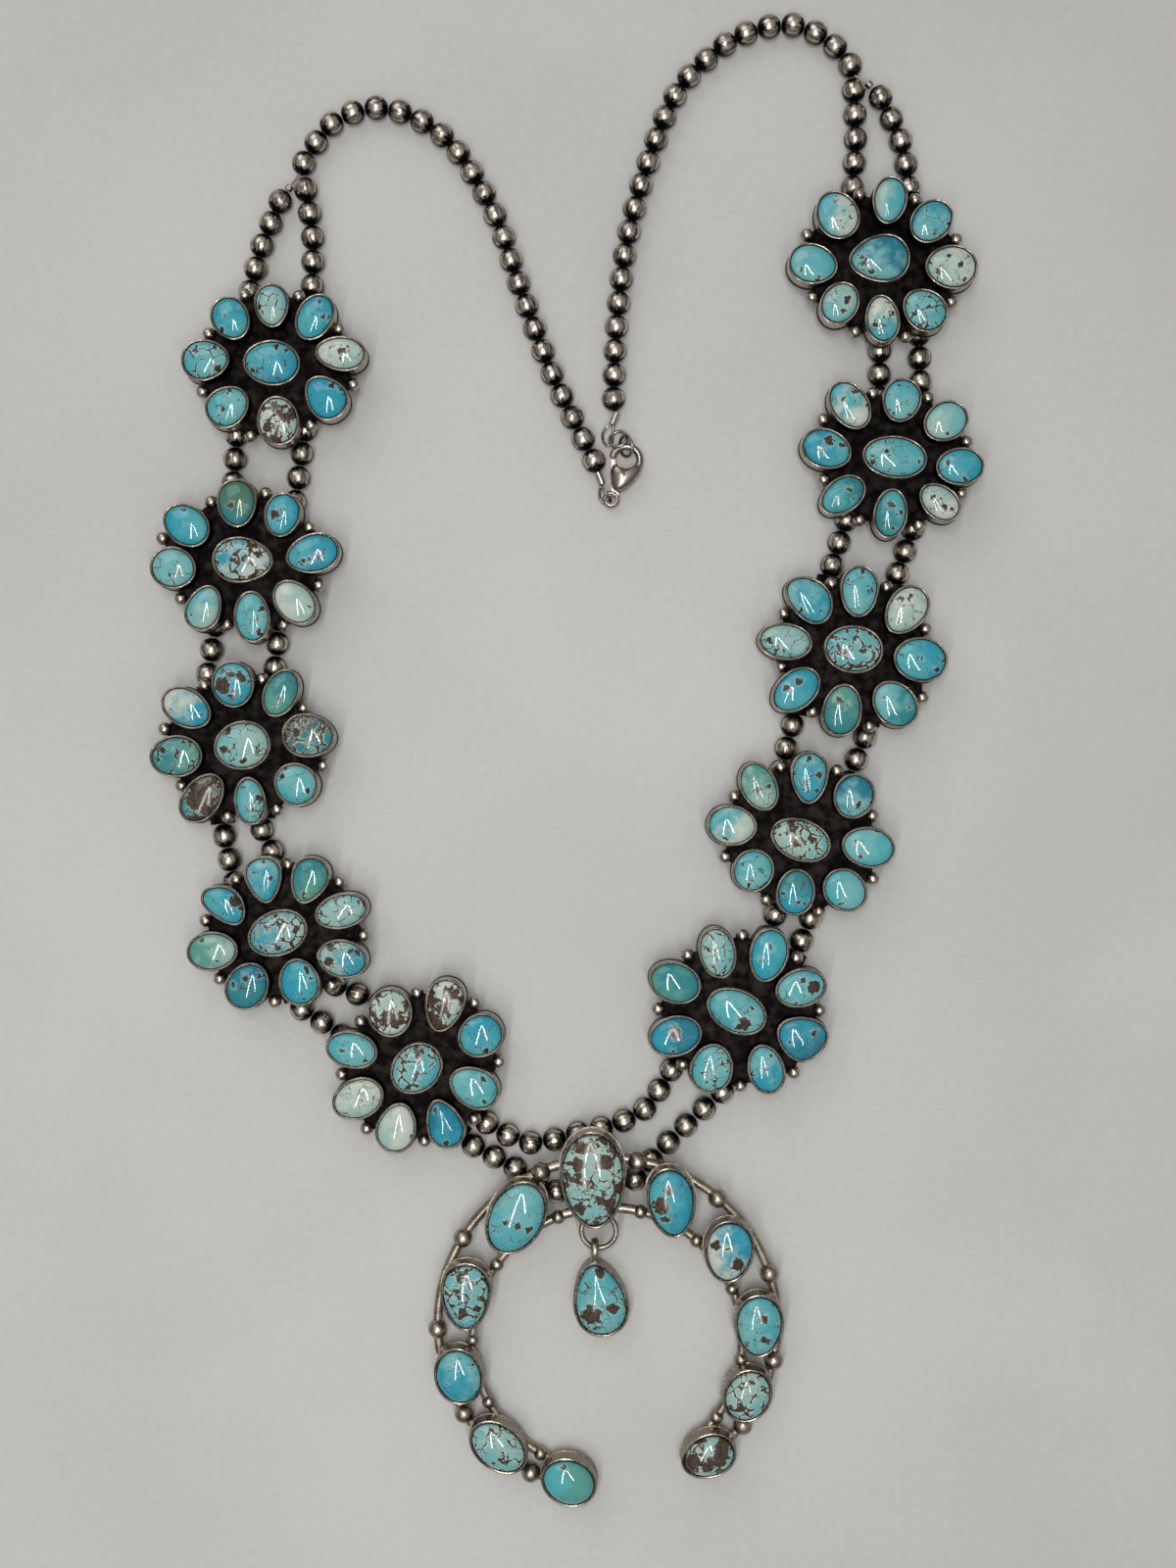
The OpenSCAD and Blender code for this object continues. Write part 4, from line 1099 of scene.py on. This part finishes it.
@dataclass
class Clasp:
    """The lobster clasp with a swelling top, a round hook and an eye ring over the CAD body.

    Places and heights are in millimetres. The outline, its middle and the eye are in shares of
    half the clasp's width, from the middle of the hook.
    """

    silver: Material
    bright: Material
    half: float = 3.5
    hook: Pair = (12.2, 60.7)
    hook_radius: float = 2.8
    hook_wire: float = 0.74 * MM
    hook_arc: range = range(-48, 163, 6)
    crimps: tuple[tuple[Point, Point], ...] = (
        ((6.4, 58.0, 2.35), (7.3, 55.6, 2.2)), ((10.3, 70.1, 2.35), (9.3, 67.8, 2.35)))
    crimp_radius: float = 0.72 * MM
    middle: Pair = (-0.12, -1.12)
    eye: Pair = (-0.88, -2.31)
    eye_radius: float = 0.36
    eye_wire: Pair = (0.5 * MM, 0.8 * MM)
    outline: tuple[Pair, ...] = (
        (-0.86, -0.52), (-0.9, -1.09), (-0.83, -1.57), (-0.63, -1.84), (-0.34, -1.87),
        (0.11, -1.63), (0.57, -1.14), (0.89, -0.57), (0.6, -0.3), (0.32, -0.47), (0, -0.56),
        (-0.32, -0.47), (-0.6, -0.3))
    steps: int = 4
    shells: int = 8
    top: float = 2.8
    swell: float = 1.2
    thicker: float = 0.09 * MM

    def point(self, share: Vector | Pair, height: float) -> Vector:
        """A point over the clasp, from shares of half its width and a height in millimetres."""
        x, y = (self.hook[i] + share[i] * self.half for i in range(2))
        return Vector((x, y, height)) * MM

    def build(self) -> None:
        """Makes the clasp's pieces."""
        mesh, crimps = Mesh(), Mesh()
        ring, middle = [Vector(p) for p in self.outline], Vector(self.middle)
        edge = [spline(ring, k / self.steps) for k in range(len(ring) * self.steps)]
        rings = [[self.point(p, self.top - 0.35) for p in edge]]
        for i in range(self.shells):
            angle = radians(12 * i)
            share = cos(angle) ** 0.8
            height = self.top - 0.2 + (self.swell + 0.2) * sin(angle)
            rings.append([self.point(middle + share * (p - middle), height) for p in edge])
        mesh.rings(rings)
        mesh.ring(self.point(self.eye, self.top / 2), Vector((1, 0, 0)), Vector((0, 1, 0)),
                  self.eye_radius * self.half * MM, self.eye_wire, 32)
        centre = self.point((0, 0), self.top / 2)
        mesh.tube([centre + self.hook_radius * MM * Vector((cos(t), sin(t), 0))
                   for t in map(radians, self.hook_arc)], self.hook_wire)
        mesh.piece("clasp_swell", self.silver, "silver_clasp", sharp=60.0)
        for ends in self.crimps:
            crimps.tube([Vector(end) * MM for end in ends], self.crimp_radius)
        crimps.piece("crimp_tubes", self.bright, "silver_clasp")
        for node in ("clasp_body", "clasp_lever"):
            dress(node, self.silver)
        for node in ("ring_chain", "ring_hook", "crimp_left", "crimp_right"):
            obj = dress(node, self.silver, 60.0)
            obj.modifiers.new("one_skin", "WELD").merge_threshold = SAME_POINT
            thicker = obj.modifiers.new("thicker_wire", "DISPLACE")
            thicker.strength, thicker.mid_level = self.thicker, 0.0


def dress(node: str, material: Material, sharp: float = 35.0) -> Object:
    """Gives a CAD node a finish and smooth shading, and returns the node's object."""
    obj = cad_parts[node]
    obj.data.materials.clear()
    obj.data.materials.append(material)
    obj.data.polygons.foreach_set("use_smooth", [True] * len(obj.data.polygons))
    obj.data.set_sharp_from_angle(angle=radians(sharp))
    log.info("CAD node %s keeps its shape", node)
    return obj


@dataclass
class Stage:
    """The table, the lights, the room and the camera, in metres."""

    camera_at: Point = (4.4 * MM, -5.6 * MM, 365 * MM)
    half_height: float = 160 * MM
    far: float = 362.6 * MM
    table_half: float = 3.0
    # Each tube runs from x, y to x, y in millimetres; its power is in watts per metre.
    tube_lines: tuple[tuple[float, float, float, float], ...] = (
        (-45, 190, -150, -410), (-12, 150, 125, -270))
    tube_height: float = 600 * MM
    tube_width: float = 18 * MM
    tube_power: float = 2.1
    tube_color: Point = (1.0, 0.98, 0.95)
    window_at: Point = (-0.5, 0.9, 0.9)
    window_size: float = 0.9
    window_power: float = 3.0
    # The room's colours are linear light.
    walls: Point = (0.13, 0.12, 0.11)
    ceiling: Point = (0.62, 0.62, 0.61)
    ceiling_from: float = 0.9
    room_light: float = 0.62

    def build(self) -> None:
        """Makes everything round the necklace."""
        self.camera()
        self.table()
        self.tubes()
        self.sky()

    def camera(self) -> None:
        """The camera straight above the table."""
        data = bpy.data.cameras.new("camera")
        data.sensor_fit = "VERTICAL"
        data.angle = 2 * atan(self.half_height / self.far)
        data.clip_start, data.clip_end = 0.01, 20
        obj = add("camera", data)
        obj.location = self.camera_at
        bpy.context.scene.camera = obj

    def table(self) -> None:
        """A wide, pale table top."""
        data = bpy.data.meshes.new("table_top")
        wide = self.table_half
        corners = [(-wide, -wide, 0), (wide, -wide, 0), (wide, wide, 0), (-wide, wide, 0)]
        data.from_pydata(corners, [], [(0, 1, 2, 3)])
        data.materials.append(Table().build())
        add("table_top", data)

    def area(self, name: str, at: Vector, size: Pair, power: float) -> Object:
        """A rectangular light that shines down and isn't seen itself."""
        data = bpy.data.lights.new(name, "AREA")
        data.shape = "RECTANGLE"
        data.size, data.size_y = size
        data.energy = power
        obj = add(name, data)
        obj.location = at
        obj.visible_camera = False
        return obj

    def tubes(self) -> None:
        """Two thin tubes that give each stone its pair of lines, and a soft window."""
        for i, line in enumerate(self.tube_lines):
            start, stop = Vector(line[:2]) * MM, Vector(line[2:]) * MM
            at, way = (start + stop) / 2, stop - start
            obj = self.area(
                f"tube_{i + 1}", Vector((at.x, at.y, self.tube_height)),
                (self.tube_width, way.length), self.tube_power * way.length,
            )
            obj.rotation_euler = (0, 0, atan2(way.y, way.x) - pi / 2)
            obj.data.color = self.tube_color
        at = Vector(self.window_at)
        soft = self.area("soft_window", at, (self.window_size, self.window_size), self.window_power)
        soft.rotation_euler = at.to_track_quat("Z", "Y").to_euler()

    def sky(self) -> None:
        """An even room: a grey ceiling over darker walls."""
        world = bpy.data.worlds.new("room")
        world.use_nodes = True
        nodes, links = world.node_tree.nodes, world.node_tree.links
        back = nodes["Background"]
        kinds = ("TexCoord", "SeparateXYZ", "MapRange", "Mix")
        coord, parts, ramp, blend = (nodes.new("ShaderNode" + kind) for kind in kinds)
        blend.data_type = "RGBA"
        ramp.inputs[1].default_value, ramp.inputs[2].default_value = 0.0, self.ceiling_from
        blend.inputs[6].default_value = (*self.walls, 1)
        blend.inputs[7].default_value = (*self.ceiling, 1)
        links.new(coord.outputs["Generated"], parts.inputs[0])
        links.new(parts.outputs[2], ramp.inputs[0])
        links.new(ramp.outputs[0], blend.inputs[0])
        links.new(blend.outputs[2], back.inputs[0])
        back.inputs[1].default_value = self.room_light
        bpy.context.scene.world = world
        bpy.context.scene.view_settings.view_transform = "Standard"


def build_necklace() -> None:
    """Dresses every part of the necklace."""
    turquoise = Turquoise().build()
    rim_silver = Silver("rim_silver", color=(0.68, 0.64, 0.59), tarnish_share=0.8).build()
    ball_silver = Silver("ball_silver", tarnish_share=0.4).build()
    wire_silver = Silver("wire_silver", color=(0.72, 0.68, 0.62), roughness=0.3).build()
    clasp_silver = Silver(
        "clasp_silver", color=(0.64, 0.60, 0.555), tarnish_share=0.15, roughness=0.25, relief=0.0
    ).build()
    thread = Silver("stringing_wire", color=(0.45, 0.43, 0.40), roughness=0.4).build()
    bead_silver = BeadSilver().build()
    for side in SIDES:
        for i in range(CLUSTER_COUNT):
            Cluster(f"{side}{i + 1}", turquoise, rim_silver, ball_silver).build()
    Crescent(turquoise, rim_silver, wire_silver).build()
    for node in sorted(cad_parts):
        if node.startswith("beads_"):
            BeadString(node, bead_silver).build()
    Clasp(clasp_silver, ball_silver).build()
    dress("fork_crimps", rim_silver, sharp=70.0)
    for node in ("thread_inner", "thread_outer"):
        dress(node, thread, sharp=70.0)


def main() -> None:
    """Builds the scene."""
    logging.basicConfig(level=logging.INFO, format="%(message)s")
    Stage().build()
    build_necklace()


if __name__ == "__main__":
    main()
